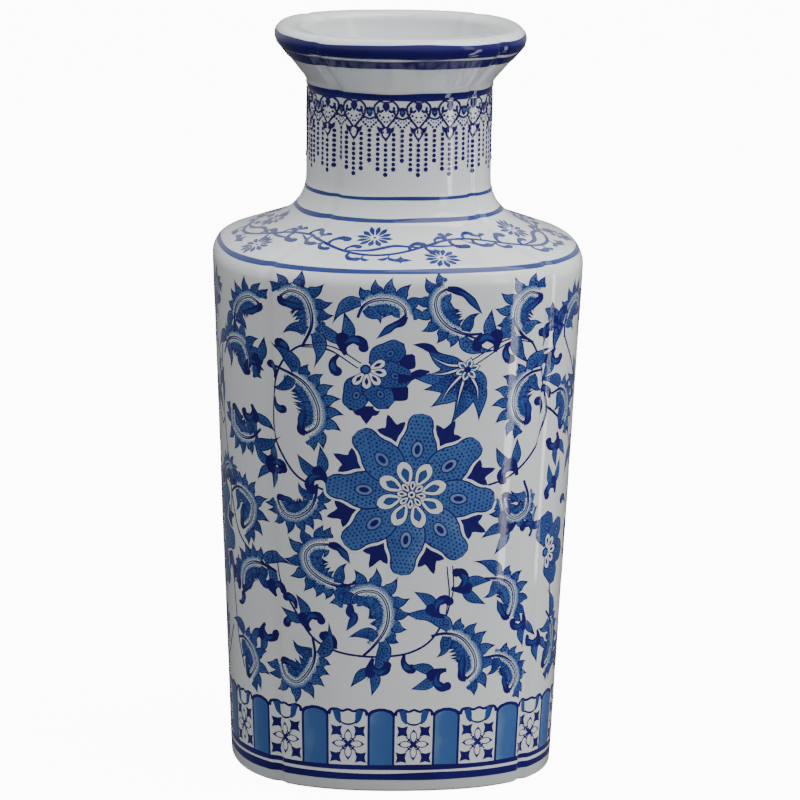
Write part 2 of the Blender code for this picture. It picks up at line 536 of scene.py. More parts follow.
@dataclass
class Drawing:
    """A flat pattern in millimetres: across is measured round the form, up along its outline."""

    radius: float
    upright_cuts: list[float] = field(default_factory=list)
    level_cuts: list[float] = field(default_factory=list)
    films: dict[Tone, Film] = field(default_factory=lambda: {tone: Film() for tone in Tone})
    layer: float = 0.0
    dice: random.Random = field(default_factory=lambda: random.Random(7))
    ground: float = 0.055
    layer_step: float = 0.0032

    @classmethod
    def on(cls, form: Form, radius: float, levels: tuple[float, float] | None = None) -> "Drawing":
        """Start a drawing that creases where the form's own faces do.

        Args:
            form: The form that it is going to be wrapped on.
            radius: Radius at which across is measured, in millimetres.
            levels: Lowest and highest place up the outline whose creases are wanted.

        Returns:
            The empty drawing.
        """
        turns = form.ring_angles()
        uprights = sorted(t + lap * 2 * math.pi for t in turns for lap in (-1, 0, 1))
        level_cuts = []
        if levels:
            level_cuts = [run / MM for run in form.runs if levels[0] < run / MM < levels[1]]
        return cls(radius, [t * radius for t in uprights], level_cuts)

    def next_layer(self, part: float = 1.0) -> None:
        """Go on to paint over what is there."""
        self.layer += part

    def fresh(self) -> None:
        """Start a motif that lies on the bare clay."""
        self.layer = 0.0

    def add(self, tone: Tone, points: np.ndarray, pool: np.ndarray, faces: list[tuple[int, ...]]) -> None:
        """Add one shape, creased along the form's faces.

        Args:
            tone: The film that it belongs to.
            points: Its points, one to a row.
            pool: How strong the colour is at each point.
            faces: Its faces, as indices of points, turned anticlockwise.
        """
        lift = self.ground + self.layer * self.layer_step
        film, known = self.films[tone], {}

        def keep(corner: np.ndarray) -> int:
            """Return the film's index of this corner, the same for the same place."""
            key = (round(corner[0], 4), round(corner[1], 4))
            if key not in known:
                known[key] = len(film.points)
                film.points.append((float(corner[0]), float(corner[1]), lift, float(corner[2])))
            return known[key]

        whole = np.column_stack([points, pool])
        for face in faces:
            pieces = creased([whole[list(face)]], 0, self.upright_cuts)
            for piece in creased(pieces, 1, self.level_cuts) if self.level_cuts else pieces:
                corners = [keep(corner) for corner in piece]
                corners = [c for c, after in zip(corners, corners[1:] + corners[:1]) if c != after]
                if len(set(corners)) > 2 and len(set(corners)) == len(corners):
                    film.faces.append(tuple(corners))


def creased(pieces: list[np.ndarray], axis: int, cuts: list[float]) -> list[np.ndarray]:
    """Cut flat polygons along every line of a grid that crosses them.

    Args:
        pieces: The polygons.
        axis: 0 for upright lines, 1 for level ones.
        cuts: Where the lines are, in rising order.

    Returns:
        The polygons that are left on each side of the lines.
    """
    done = []
    for piece in pieces:
        first = int(np.searchsorted(cuts, piece[:, axis].min() + 1e-4))
        last = int(np.searchsorted(cuts, piece[:, axis].max() - 1e-4))
        rest = piece
        for cut in cuts[first:last]:
            below, above = [], []
            for here, after in zip(rest, np.roll(rest, -1, axis=0)):
                side, next_side = here[axis] - cut, after[axis] - cut
                if side <= 0:
                    below.append(here)
                if side >= 0:
                    above.append(here)
                if side * next_side < 0:
                    crossing = here + (after - here) * (side / (side - next_side))
                    below.append(crossing)
                    above.append(crossing)
            if len(below) > 2:
                done.append(np.array(below))
            rest = np.array(above)
            if len(above) < 3:
                break
        if len(rest) > 2:
            done.append(rest)
    return done


@dataclass(frozen=True)
class Brush:
    """A brush held at one place of a drawing, at one turn and size, for drawing a motif there."""

    drawing: Drawing
    x: float = 0.0
    y: float = 0.0
    turn: float = 0.0
    size: float = 1.0
    flip: bool = False
    stretch: float = 1.0

    def at(self, x: float, y: float, turn: float = 0.0, size: float = 1.0, flip: bool = False) -> "Brush":
        """Return a brush moved to this place in the brush's own frame.

        Args:
            x: Across, in this brush's frame.
            y: Up, in this brush's frame.
            turn: Further anticlockwise turn, in degrees.
            size: Further change of size.
            flip: Whether to mirror what it draws.

        Returns:
            The moved brush.
        """
        place = self.world([(x, y)])[0]
        sense = -1 if self.flip else 1
        turned = self.turn + sense * turn
        return Brush(
            self.drawing, place[0], place[1], turned, self.size * size, self.flip != flip, self.stretch
        )

    def world(self, points: Sequence[Point] | np.ndarray) -> np.ndarray:
        """Return points of the brush's frame in the drawing's frame.

        Args:
            points: Points in the brush's frame.

        Returns:
            The same points in the drawing's frame.
        """
        flat = np.array(points, float) * self.size
        if self.flip:
            flat[:, 1] *= -1
        c, s = math.cos(math.radians(self.turn)), math.sin(math.radians(self.turn))
        turned = np.column_stack([c * flat[:, 0] - s * flat[:, 1], s * flat[:, 0] + c * flat[:, 1]])
        return turned * (self.stretch, 1.0) + (self.x, self.y)

    def stroke(
        self, tone: Tone, points: Sequence[Point], widths: list[float],
        pool: tuple[float, float] = (0.5, 0.5), spare: float = 0.0, rooted: bool = False
    ) -> None:
        """Draw one stroke that swells and thins.

        Args:
            tone: Film to draw in.
            points: Points that the stroke passes through.
            widths: Half width, spread evenly over its length.
            pool: Strength of the colour at its left and right edge.
            spare: How much to draw inside the stroke's edge.
            rooted: Whether the start stays open, for a shape that grows out of another.
        """
        line, half = flowing(points, widths, 0.9 / self.size)
        if spare:
            half = half - spare
            keep = np.flatnonzero(half > 0.02)
            if len(keep) < 3:
                return
            line, half = line[keep[0]:keep[-1] + 1], np.clip(half[keep[0]:keep[-1] + 1], 0.0, None)
            half[-1] = 0.0
            half[0] = half[0] if rooted else 0.0
        path = self.world(line)
        self.ribbon(tone, path, half * self.size, pool[::-1] if self.flip else pool)

    def ribbon(self, tone: Tone, path: np.ndarray, half: np.ndarray, pool: tuple[float, float]) -> None:
        """Lay a ribbon of faces along a path in the drawing's frame.

        Args:
            tone: Film to draw in.
            path: Points along the middle.
            half: Half width at each.
            pool: Strength of the colour at its left and right edge.
        """
        heading = np.gradient(path / (self.stretch, 1.0), axis=0)
        heading /= np.maximum(np.linalg.norm(heading, axis=1, keepdims=True), 1e-9)
        side = np.column_stack([-heading[:, 1], heading[:, 0]]) * half[:, None] * (self.stretch, 1.0)
        count = len(path)
        points = np.vstack([path + side, path - side])
        strength = np.concatenate([np.full(count, pool[0]), np.full(count, pool[1])])
        faces = [(k + count, k + 1 + count, k + 1, k) for k in range(count - 1)]
        self.drawing.add(tone, points, strength, faces)

    def lobe(
        self, points: Sequence[Point], widths: list[float], rim: float = 0.42,
        pool: tuple[float, float] = (0.5, 0.5), pitch: float = 1.7, dot: float = 0.34,
        fill: Tone = Tone.WASH
    ) -> None:
        """Draw an outlined, washed and dotted shape.

        Args:
            points: Points of its spine.
            widths: Half width along the spine.
            rim: Width of the dark outline.
            pool: Strength of the wash at its left and right.
            pitch: Distance between dots, or 0 for none.
            dot: Radius of a dot.
            fill: Film inside the outline.
        """
        self.stroke(Tone.LINE, points, widths)
        self.drawing.next_layer()
        self.stroke(fill, points, widths, pool, rim / self.size)
        self.drawing.next_layer()
        if pitch:
            self.dots(points, widths, rim / self.size + dot, pitch / self.size, dot / self.size)
            self.drawing.next_layer()

    def cluster(
        self, shapes: list[tuple[list[Point], list[float]]], rim: float = 0.4,
        pool: tuple[float, float] = (0.5, 0.6), pitch: float = 1.4, dot: float = 0.3
    ) -> None:
        """Draw shapes that run into each other: one outline round them all, one wash inside.

        Args:
            shapes: Spine and half widths of each, rooted in what it grows from.
            rim: Width of the dark outline.
            pool: Strength of the wash at the left and right of each.
            pitch: Distance between dots, or 0 for none.
            dot: Radius of a dot.
        """
        part = 1.0 / (len(shapes) + 1)
        for points, widths in shapes:
            self.stroke(Tone.LINE, points, widths)
            self.drawing.next_layer(part)
        for points, widths in shapes:
            shade = self.drawing.dice.uniform(-0.09, 0.12)
            self.stroke(Tone.WASH, points, widths, (pool[0] + shade, pool[1] + shade), rim / self.size, True)
            self.drawing.next_layer(part)
        self.drawing.next_layer()
        for points, widths in shapes if pitch else []:
            self.dots(points, widths, rim / self.size + dot, pitch / self.size, dot / self.size)
        self.drawing.next_layer()

    def dots(
        self, points: Sequence[Point], widths: list[float], margin: float, pitch: float, dot: float
    ) -> None:
        """Scatter small dark dots in staggered rows inside a shape.

        Args:
            points: Points of the shape's spine.
            widths: Half width along the spine.
            margin: How far the dots stay from the edge.
            pitch: Distance between dots.
            dot: Radius of a dot.
        """
        line, half = flowing(points, widths, 0.3 / self.size)
        along = np.concatenate([[0.0], np.cumsum(np.linalg.norm(np.diff(line, axis=0), axis=1))])
        heading = np.gradient(line, axis=0)
        heading /= np.maximum(np.linalg.norm(heading, axis=1, keepdims=True), 1e-9)
        dice = self.drawing.dice
        for row in range(int(along[-1] / pitch)):
            place = (row + 0.5) * pitch
            k = int(np.searchsorted(along, place))
            reach = half[k] - margin
            if reach < 0:
                continue
            first = 0.5 * (row % 2)
            count = int(reach / pitch) + 1
            for column in range(-count, count + 1):
                off = (column + first) * pitch
                if abs(off) > reach:
                    continue
                shake = 0.13 * pitch
                spot = line[k] + off * np.array([-heading[k, 1], heading[k, 0]])
                spot = spot + (dice.uniform(-shake, shake), dice.uniform(-shake, shake))
                self.disc(Tone.DOTS, spot[0], spot[1], dot * dice.uniform(0.8, 1.15), 6)

    def disc(self, tone: Tone, x: float, y: float, radius: float, sides: int = 14, squash: float = 1.0,
             pool: float = 0.5) -> None:
        """Draw a round or oval spot.

        Args:
            tone: Film to draw in.
            x: Across, in this brush's frame.
            y: Up, in this brush's frame.
            radius: Half width across.
            sides: Number of sides.
            squash: Height over width.
            pool: Strength of the colour.
        """
        turns = np.arange(sides) / sides * 2 * math.pi
        round_points = np.column_stack([x + radius * np.cos(turns), y + squash * radius * np.sin(turns)])
        points = self.world(round_points)
        order = tuple(range(sides))[::-1] if self.flip else tuple(range(sides))
        self.drawing.add(tone, points, np.full(sides, pool), [order])


# ---------------------------------------------------------------------------------------------
# Motifs of the panels
# ---------------------------------------------------------------------------------------------


@dataclass(frozen=True)
class Blossom:
    """The open flower at a panel's middle: eight lobed petals round a white rosette."""

    petals: int = 8
    length: float = 39.5
    lean: float = -6.0

    def draw(self, brush: Brush) -> None:
        """Draw sepals, petals and rosette, each over the one before.

        Args:
            brush: Brush at the flower's middle.
        """
        drawing = brush.drawing
        drawing.fresh()
        step = 360 / self.petals
        reach = np.linspace(8, self.length, 46)
        shape = np.interp(reach, [8, 12, 16, 19, 22, 26, 29, 31.5, 34, 36.5, 38.3, 39.2, self.length],
                          [3.5, 6.3, 8.6, 9.3, 9.4, 8.5, 7.0, 6.2, 6.2, 5.6, 4.2, 2.7, 0.0]).tolist()
        spine = [(8, 0), (self.length, 0)]
        for k in range(self.petals):
            self.sepal(brush.at(0, 0, 90 + self.lean + step * (k + 0.5)))
        for k in range(self.petals):
            petal = brush.at(0, 0, 90 + self.lean - step * k)
            petal.stroke(Tone.SLIP, [(10, 0), (self.length + 0.9, 0)], [w + 0.9 for w in shape])
            drawing.next_layer(0.3)
        drawing.next_layer()
        for k in range(self.petals):
            petal = brush.at(0, 0, 90 + self.lean - step * k)
            petal.lobe(spine, shape, 0.72, (0.50, 0.60), 1.9, 0.52)
        for a, b, tone, pool in (
            (4.4, 3.0, Tone.LINE, 0.5), (3.8, 2.4, Tone.WASH, 0.42), (2.3, 1.3, Tone.LINE, 0.5)
        ):
            for k in range(self.petals):
                brush.at(0, 0, 90 + self.lean - step * k).disc(tone, 22.0, 0, a, 20, b / a, pool)
            drawing.next_layer()
        brush.disc(Tone.WASH, 0, 0, 9.0, 28, 1.0, 0.60)
        drawing.next_layer()
        for k in range(self.petals):
            petal = brush.at(0, 0, 90 + self.lean - step * (k + 0.5))
            petal.lobe(
                [(4.6, 0), (17.6, 0)], [1.0, 2.1, 3.2, 3.8, 3.7, 2.6, 0.0], 0.36, pitch=0, fill=Tone.SLIP
            )
            petal.stroke(Tone.LINE, [(6.6, 0), (13.8, 0)], [0.5, 1.1, 1.8, 1.6, 0.0])
            drawing.next_layer(0.4)
            petal.stroke(Tone.WASH, [(6.6, 0), (13.8, 0)], [0.5, 1.1, 1.8, 1.6, 0.0], (0.72, 0.72), 0.3)
        drawing.next_layer()
        for k in range(self.petals):
            petal = brush.at(0, 0, 90 + self.lean - step * k)
            petal.lobe([(1.6, 0), (7.4, 0)], [0.6, 1.1, 1.7, 1.4, 0.0], 0.34, pitch=0, fill=Tone.SLIP)
            petal.stroke(Tone.LINE, [(3.4, 0), (6.0, 0)], [0.2, 0.55, 0.0])
        for radius, tone in ((2.3, Tone.LINE), (1.75, Tone.SLIP), (0.8, Tone.LINE)):
            drawing.next_layer()
            brush.disc(tone, 0, 0, radius)

    def sepal(self, brush: Brush) -> None:
        """Draw one dark three-pointed leaf between two petals.

        Args:
            brush: Brush at the flower's middle, turned between the two petals.
        """
        brush.stroke(Tone.LINE, [(24.5, 0), (40.6, 0)], [0.3, 1.0, 3.0, 4.4, 4.7, 3.9, 2.4, 1.7, 1.1, 0.0])
        for side in (1, -1):
            brush.drawing.next_layer(0.2)
            brush.stroke(
                Tone.LINE, [(31.0, side * 1.6), (33.2, side * 4.6), (34.8, side * 8.0)], [2.2, 1.9, 0.0]
            )


@dataclass(frozen=True)
class LeafPlace:
    """Where one leaf grows on a panel, and which way it curls.

    rib runs from the stem to the leaf's end, and out is 1 where the leaf bows to the left of that
    way, -1 to the right. full is how large its flames and teeth are, drop whether a long lobe hangs
    outside its foot, and tail the dark tail at its end: without one the rib ends in a hook.
    """

    rib: tuple[Point, ...]
    out: int = 1
    full: float = 1.0
    drop: bool = True
    tail: tuple[Point, ...] = ()


@dataclass(frozen=True)
class Leaf:
    """A curling leaf: a hooked double rib, dotted flames outside it and dark teeth inside."""

    flame_pitch: float = 4.6
    flame_length: float = 7.6
    tooth_pitch: float = 3.3
    tooth_length: float = 6.6
    rib_step: float = 0.25

    def draw(self, drawing: Drawing, leaf: LeafPlace) -> None:
        """Draw one leaf in its place.

        Args:
            drawing: The drawing to put it in.
            leaf: Where it grows and how it curls.
        """
        rib, out, full, drop, tail = leaf.rib, leaf.out, leaf.full, leaf.drop, leaf.tail
        brush = Brush(drawing)
        line, _ = flowing(rib, [1.0, 1.0], self.rib_step)
        heading = np.gradient(line, axis=0)
        heading /= np.linalg.norm(heading, axis=1, keepdims=True)
        outward = np.column_stack([-heading[:, 1], heading[:, 0]]) * out
        count = len(line) - 1
        length = count * self.rib_step

        def beside(share: float, off: float) -> np.ndarray:
            """Return the place this far along the rib and this far outside it."""
            k = min(max(round(share * count), 0), count)
            return line[k] + outward[k] * off * full

        def sided(outer: float, inner: float) -> tuple[float, float]:
            """Return the pools of a stroke's left and right edge."""
            return (outer, inner) if out > 0 else (inner, outer)

        drawing.fresh()
        glow = [tuple(beside(s, 2.9)) for s in np.linspace(0.16, 1.0, 10)]
        brush.stroke(Tone.WASH, glow, [w * full for w in (1.0, 1.5, 1.5, 1.5, 1.0)], sided(0.66, 0.16))
        inner = [tuple(beside(s, -2.6)) for s in np.linspace(0.12, 0.97, 9)]
        brush.stroke(Tone.WASH, inner, [w * full for w in (0.8, 1.3, 1.4, 1.3, 1.0)], sided(0.06, 0.60))
        drawing.next_layer()
        brush.dots(glow, [1.6 * full, 1.7 * full], 0.1, 1.15, 0.27)
        brush.dots(inner, [1.5 * full, 1.5 * full], 0.1, 1.05, 0.28)
        drawing.next_layer()
        flames, teeth = [], []
        number = max(4, round(0.80 * length / (self.flame_pitch * full)))
        for k in range(number):
            share = 1.0 - 0.80 * k / number
            here = min(round(share * count), count)
            sweep = 0.30 - 0.75 * (k / number) + drawing.dice.uniform(-0.12, 0.12)
            long = self.flame_length * full * (0.72 + 0.45 * math.sin(math.pi * min(1.0, (k + 0.6) / number)))
            way = outward[here] + heading[here] * sweep
            root = beside(share, 3.2)
            middle = root + way * long * 0.45 - heading[here] * 0.5 * full
            tip = root + way * long + heading[here] * 0.8 * full
            flames.append(
                ([tuple(root), tuple(middle), tuple(tip)], [w * full for w in (2.8, 3.0, 2.0, 0.8, 0.0)])
            )
        if drop:
            spine = [
                beside(0.22, 2.2), beside(0.15, 6.0), beside(0.06, 8.8) - heading[0] * 2.0,
                beside(0.0, 9.6) - heading[0] * 7.5
            ]
            flames.append(([tuple(p) for p in spine], [w * full for w in (2.2, 3.5, 3.3, 1.8, 0.6, 0.0)]))
        brush.cluster(flames, 0.58, sided(0.76, 0.60), 1.45, 0.47)
        number = max(4, round(0.78 * length / (self.tooth_pitch * full)))
        for k in range(number):
            share = 0.97 - 0.70 * k / number
            here = min(round(share * count), count)
            long = self.tooth_length * full * (0.60 + 0.72 * math.sin(math.pi * (k + 0.5) / number))
            way = -outward[here] - heading[here] * (0.35 + drawing.dice.uniform(-0.15, 0.15))
            root = beside(share, -2.7)
            middle = root + way * long * 0.5 + heading[here] * 0.6 * full
            teeth.append(
                (
                    [tuple(root), tuple(middle), tuple(root + way * long)],
                    [w * full for w in (1.7, 1.35, 0.7, 0.0)]
                )
            )
        lobe = [beside(0.20, -1.4), beside(0.20, -5.6), beside(0.12, -9.4), beside(0.02, -11.4)]
        teeth.append(([tuple(p) for p in lobe], [w * full for w in (2.2, 3.0, 2.3, 1.0, 0.0)]))
        brush.cluster(teeth, 0.45, sided(0.64, 0.80), 1.3, 0.42)
        if drop:
            for spot in (beside(0.17, 5.6), beside(0.2, -4.6)):
                for radius, tone in ((1.5, Tone.LINE), (1.0, Tone.WASH), (0.5, Tone.LINE)):
                    brush.disc(tone, spot[0], spot[1], radius * full, 10)
                    drawing.next_layer()
        brush.stroke(Tone.LINE, rib, [0.6, 0.7, 0.8, 0.7, 0.55])
        drawing.next_layer()
        brush.stroke(Tone.WASH, rib[1:], [0.0, 0.16, 0.28, 0.20, 0.0], (0.14, 0.14))
        drawing.next_layer()
        if not tail:
            last = line[-1]
            tail = (tuple(last), tuple(last - outward[-1] * 2.4 * full + heading[-1] * 0.8 * full),
                    tuple(last - outward[-1] * 6.5 * full - heading[-1] * 2.6 * full),
                    tuple(last - outward[-1] * 11.0 * full - heading[-1] * 8.5 * full))
        brush.stroke(Tone.LINE, tail, [w * full for w in (1.3, 2.1, 1.7, 2.0, 1.1, 0.0)])
        drawing.next_layer()
        brush.stroke(Tone.WASH, tail[1:], [w * full for w in (0.0, 0.7, 1.2, 0.6, 0.0)], (0.80, 0.92))


@dataclass(frozen=True)
class Buds:
    """Small dark buds and dotted leaves that grow from a stem."""

    def comma(self, brush: Brush, size: float = 1.0) -> None:
        """Draw one round-headed bud on a curling stalk, upwards from its foot.

        Args:
            brush: Brush at its foot.
            size: How large it is.
        """
        brush.drawing.fresh()
        held = brush.at(0, 0, 0, size)
        held.stroke(Tone.LINE, [(0, 0), (1.5, 3), (1.2, 6), (-0.8, 8.4)], [0.7, 1.3, 1.9, 2.3])
        brush.drawing.next_layer()
        held.disc(Tone.LINE, -1.1, 8.0, 2.4)
        brush.drawing.next_layer()
        held.stroke(Tone.WASH, [(1.4, 3.4), (1.2, 6.0), (-0.9, 8.2)], [0.0, 0.9, 1.1, 0.0], (0.86, 0.74))

    def sprig(self, brush: Brush, mirrored: bool = False) -> None:
        """Draw a dark bud, a curled bud and two dotted leaves, upwards from their stem.

        Args:
            brush: Brush where it leaves the stem.
            mirrored: Whether the curled bud goes right.
        """
        drawing = brush.drawing
        drawing.fresh()
        held = brush.at(0, 0)
        sense = -1 if mirrored else 1
        first = [(sense * -0.6, 6.5), (sense * -3.0, 12.5), (sense * -2.2, 22.0)]
        second = [(sense * 1.2, 6.5), (sense * 5.8, 11.0), (sense * 10.6, 19.0)]
        held.lobe(first, [1.6, 3.1, 2.8, 1.4, 0.0], 0.5, (0.62, 0.76), 1.4, 0.42)
        held.lobe(second, [1.6, 2.9, 2.6, 1.2, 0.0], 0.5, (0.62, 0.76), 1.4, 0.42)
        held.stroke(Tone.LINE, [(0, 0), (sense * 0.8, 3.5), (0, 9.5)], [1.0, 1.6, 3.0, 1.0])
        drawing.next_layer()
        held.disc(Tone.LINE, sense * 0.5, 8.4, 3.1)
        drawing.next_layer()
        held.stroke(
            Tone.LINE, [(0, 5.0), (sense * -4.2, 7.4), (sense * -8.0, 5.6), (sense * -8.6, 2.8)],
            [1.4, 1.9, 2.5, 2.1]
        )
        drawing.next_layer()
        held.disc(Tone.LINE, sense * -8.5, 2.8, 2.4)
        drawing.next_layer()
        held.stroke(
            Tone.WASH, [(0, 5.8), (sense * -4.2, 7.6), (sense * -8.0, 5.2)], [0.0, 0.9, 1.2, 0.0],
            (0.90, 0.78)
        )


@dataclass(frozen=True)
class FanFlower:
    """A flower seen from the side: half a white rosette in a fan of dotted petals."""

    angles: tuple[float, ...] = (-76.0, -28.0, 72.0, 22.0)

    def draw(self, brush: Brush) -> None:
        """Draw the fan opening along the brush's own right.

        Args:
            brush: Brush at the fan's root.
        """
        drawing = brush.drawing
        drawing.fresh()
        for angle in self.angles:
            petal = brush.at(0, 0, angle)
            petal.lobe(
                [(3, 0), (22.5, 0)], [2.4, 4.6, 6.4, 7.3, 7.4, 7.0, 6.4, 6.0, 5.4, 4.2, 0.0], 0.6,
                (0.66, 0.76), 1.6, 0.47
            )
            for a, b, tone in ((2.6, 2.1, Tone.LINE), (2.0, 1.5, Tone.WASH), (0.95, 0.75, Tone.LINE)):
                petal.disc(tone, 14.0, 0, a, 14, b / a, 0.5)
                drawing.next_layer()
        drawing.next_layer()
        for angle in (-96, -56, -16, 24, 62):
            petal = brush.at(0, 0, angle)
            petal.lobe([(1.5, 0), (10.6, 0)], [0.8, 1.6, 2.3, 2.2, 0.0], 0.34, pitch=0, fill=Tone.SLIP)
            petal.stroke(Tone.LINE, [(4.0, 0), (8.2, 0)], [0.3, 0.9, 0.0])
        drawing.next_layer()
        brush.disc(Tone.LINE, -0.6, 0, 2.6)
        drawing.next_layer()
        brush.disc(Tone.WASH, -0.6, 0, 1.7, pool=0.6)


@dataclass(frozen=True)
class BellFlower:
    """A flower seen from behind: ragged dotted petals with double white ribs between them."""

    def draw(self, brush: Brush) -> None:
        """Draw the petals falling to the left of and below the brush.

        Args:
            brush: Brush at the flower's middle.
        """
        drawing = brush.drawing
        drawing.fresh()
        tips = (
            (-20, 13.0), (-27.5, -2.6), (-20, -9.5), (-16.5, -18.0), (-7, -26.5), (0.0, -19.0), (6.0, -25.5),
            (8.5, -14.5)
        )
        full = (3.4, 3.2, 4.0, 4.6, 4.2, 4.4, 3.8, 3.4)
        petals = [([(-1, -1), (-6.5, -5.5), (-12, -11)], [3.0, 7.4, 8.4, 5.0, 0.0])]
        for (x, y), wide in zip(tips, full):
            bow = (0.52 * x - 0.10 * y, 0.52 * y + 0.10 * x)
            petals.append(
                ([(0.12 * x, 0.12 * y), bow, (x, y)], [wide * w for w in (0.7, 1.15, 1.1, 0.75, 0.3, 0.0)])
            )
        brush.cluster(petals, 0.55, (0.62, 0.74), 1.5, 0.46)
        for spine in (
            [(-2, 2), (-9, 2.6), (-17, 6.6)],
            [(-3, 0.4), (-11, -1.8), (-18, -1.4)],
            [(-2, -2), (-8, -9), (-11.5, -16)],
            [(-1, -3), (-3.0, -11), (-4.5, -19)],
            [(1.5, -3), (4.6, -9), (5.2, -16)],
        ):
            brush.stroke(Tone.LINE, spine, [1.0, 1.0, 0.7, 0.0])
            drawing.next_layer()
            brush.stroke(Tone.SLIP, spine, [0.45, 0.42, 0.15, 0.0])
            drawing.next_layer()
        for spine in ([(-13, 8.2), (-19, 11.5), (-25, 12.5)], [(-17, -0.5), (-22, -1.5), (-29, -3.4)]):
            brush.stroke(Tone.LINE, spine, [0.4, 1.9, 1.3, 0.0])
            drawing.next_layer()
        for angle in (15, 75, 140, 200, 255, 310):
            brush.at(0, 0, angle).lobe(
                [(0.4, 0), (6.2, 0)], [0.8, 1.8, 1.5, 0.0], 0.4, pitch=0, fill=Tone.SLIP
            )
            brush.at(0, 0, angle).stroke(Tone.WASH, [(1.5, 0), (4.6, 0)], [0.3, 0.8, 0.0], (0.8, 0.8))
        drawing.next_layer()
        brush.disc(Tone.LINE, 0, 0, 1.6)


@dataclass(frozen=True)
class Stem:
    """A running stem, which doubles where it nears a flower."""

    half: float = 0.5

    def draw(self, drawing: Drawing, points: tuple[Point, ...]) -> None:
        """Draw a single thin stem through the points."""
        drawing.fresh()
        Brush(drawing).stroke(Tone.LINE, points, [self.half])

    def draw_double(self, drawing: Drawing, points: tuple[Point, ...]) -> None:
        """Draw a stem that opens into two lines with white between.

        Args:
            drawing: The drawing to put it in.
            points: Points that it passes through.
        """
        drawing.fresh()
        Brush(drawing).stroke(Tone.LINE, points, [self.half, 1.0, 1.55, 1.6])
        drawing.next_layer()
        Brush(drawing).stroke(Tone.SLIP, points, [0.0, 0.35, 0.9, 1.05])


# ---------------------------------------------------------------------------------------------
# Painted zones
# ---------------------------------------------------------------------------------------------


@dataclass
class PaintedZone:
    """One zone of the painting: it draws flat, and wraps its films on the form."""

    form: Form
    name: str
    radius: float
    thickness: float = 0.30 * MM

    def drawing(self) -> Drawing:
        """Return the zone's flat drawing."""
        raise NotImplementedError

    def turns(self) -> dict[str, float]:
        """Return the name and the turn, in radians, of each copy of the drawing."""
        return {"": 0.0}

    def build(self, finishes: dict[Tone, bpy.types.Material]) -> list[bpy.types.Object]:
        """Wrap every film of every copy on the form.

        Args:
            finishes: The material of each tone.

        Returns:
            The finished pieces.
        """
        flat = self.drawing()
        made = []
        for suffix, turn in self.turns().items():
            for tone, film in flat.films.items():
                if film.faces:
                    name = "_".join(part for part in (self.name, suffix, tone.value) if part)
                    made.append(self.wrap(name, film, turn, finishes[tone]))
        return made

    def wrap(self, name: str, film: Film, turn: float, finish: bpy.types.Material) -> bpy.types.Object:
        """Wrap one film on the form and give it its thickness.

        Args:
            name: Name of the piece.
            film: The flat film.
            turn: Angle of the drawing's upright middle line.
            finish: Its material.

        Returns:
            The piece, closed, with its place in its mesh.
        """
        flat = np.array(film.points)
        angle = flat[:, 0] / self.radius + turn - QUARTER
        points = self.form.place(angle, flat[:, 1] * MM, flat[:, 2] * MM)
        data = bpy.data.meshes.new(name)
        data.from_pydata(points.tolist(), [], film.faces)
        pool = data.attributes.new("pool", "FLOAT", "POINT")
        pool.data.foreach_set("value", np.clip(flat[:, 3], 0, 1).astype(np.float32))
        low, high = flat[:, :2].min(0), flat[:, :2].max(0)
        unrolled = 0.002 + 0.996 * (flat[:, :2] - low) / (high - low)
        corners = np.empty(len(data.loops), np.int32)
        data.loops.foreach_get("vertex_index", corners)
        layout = data.uv_layers.new(name="OFBake")
        layout.data.foreach_set("uv", unrolled[corners].astype(np.float32).ravel())
        data.materials.append(finish)
        piece = bpy.data.objects.new(name, data)
        bpy.context.scene.collection.objects.link(piece)
        take(piece)
        self.turn_outwards(data)
        solid = piece.modifiers.new("thickness", "SOLIDIFY")
        solid.thickness = self.thickness
        solid.offset = -1.0
        bpy.ops.object.modifier_apply(modifier=solid.name)
        bpy.ops.object.shade_smooth_by_angle(angle=FILM_SMOOTH)
        return piece

    @staticmethod
    def turn_outwards(data: bpy.types.Mesh) -> None:
        """Join what meets after a whole turn, and turn over any face that looks into the clay.

        Args:
            data: The wrapped mesh, before it gets its thickness.
        """
        mesh = bmesh.new()
        mesh.from_mesh(data)
        bmesh.ops.remove_doubles(mesh, verts=mesh.verts, dist=0.0001 * MM)
        for face in mesh.faces:
            middle = face.calc_center_median()
            outward = face.normal.x * middle.x + face.normal.y * middle.y
            if abs(outward) < 0.15 * face.normal.length * middle.length:
                outward = face.normal.z
            if outward < 0:
                face.normal_flip()
        mesh.to_mesh(data)
        mesh.free()


def take(piece: bpy.types.Object) -> None:
    """Select one object only and make it the active one.

    Args:
        piece: The object.
    """
    bpy.ops.object.select_all(action="DESELECT")
    piece.select_set(True)
    bpy.context.view_layer.objects.active = piece


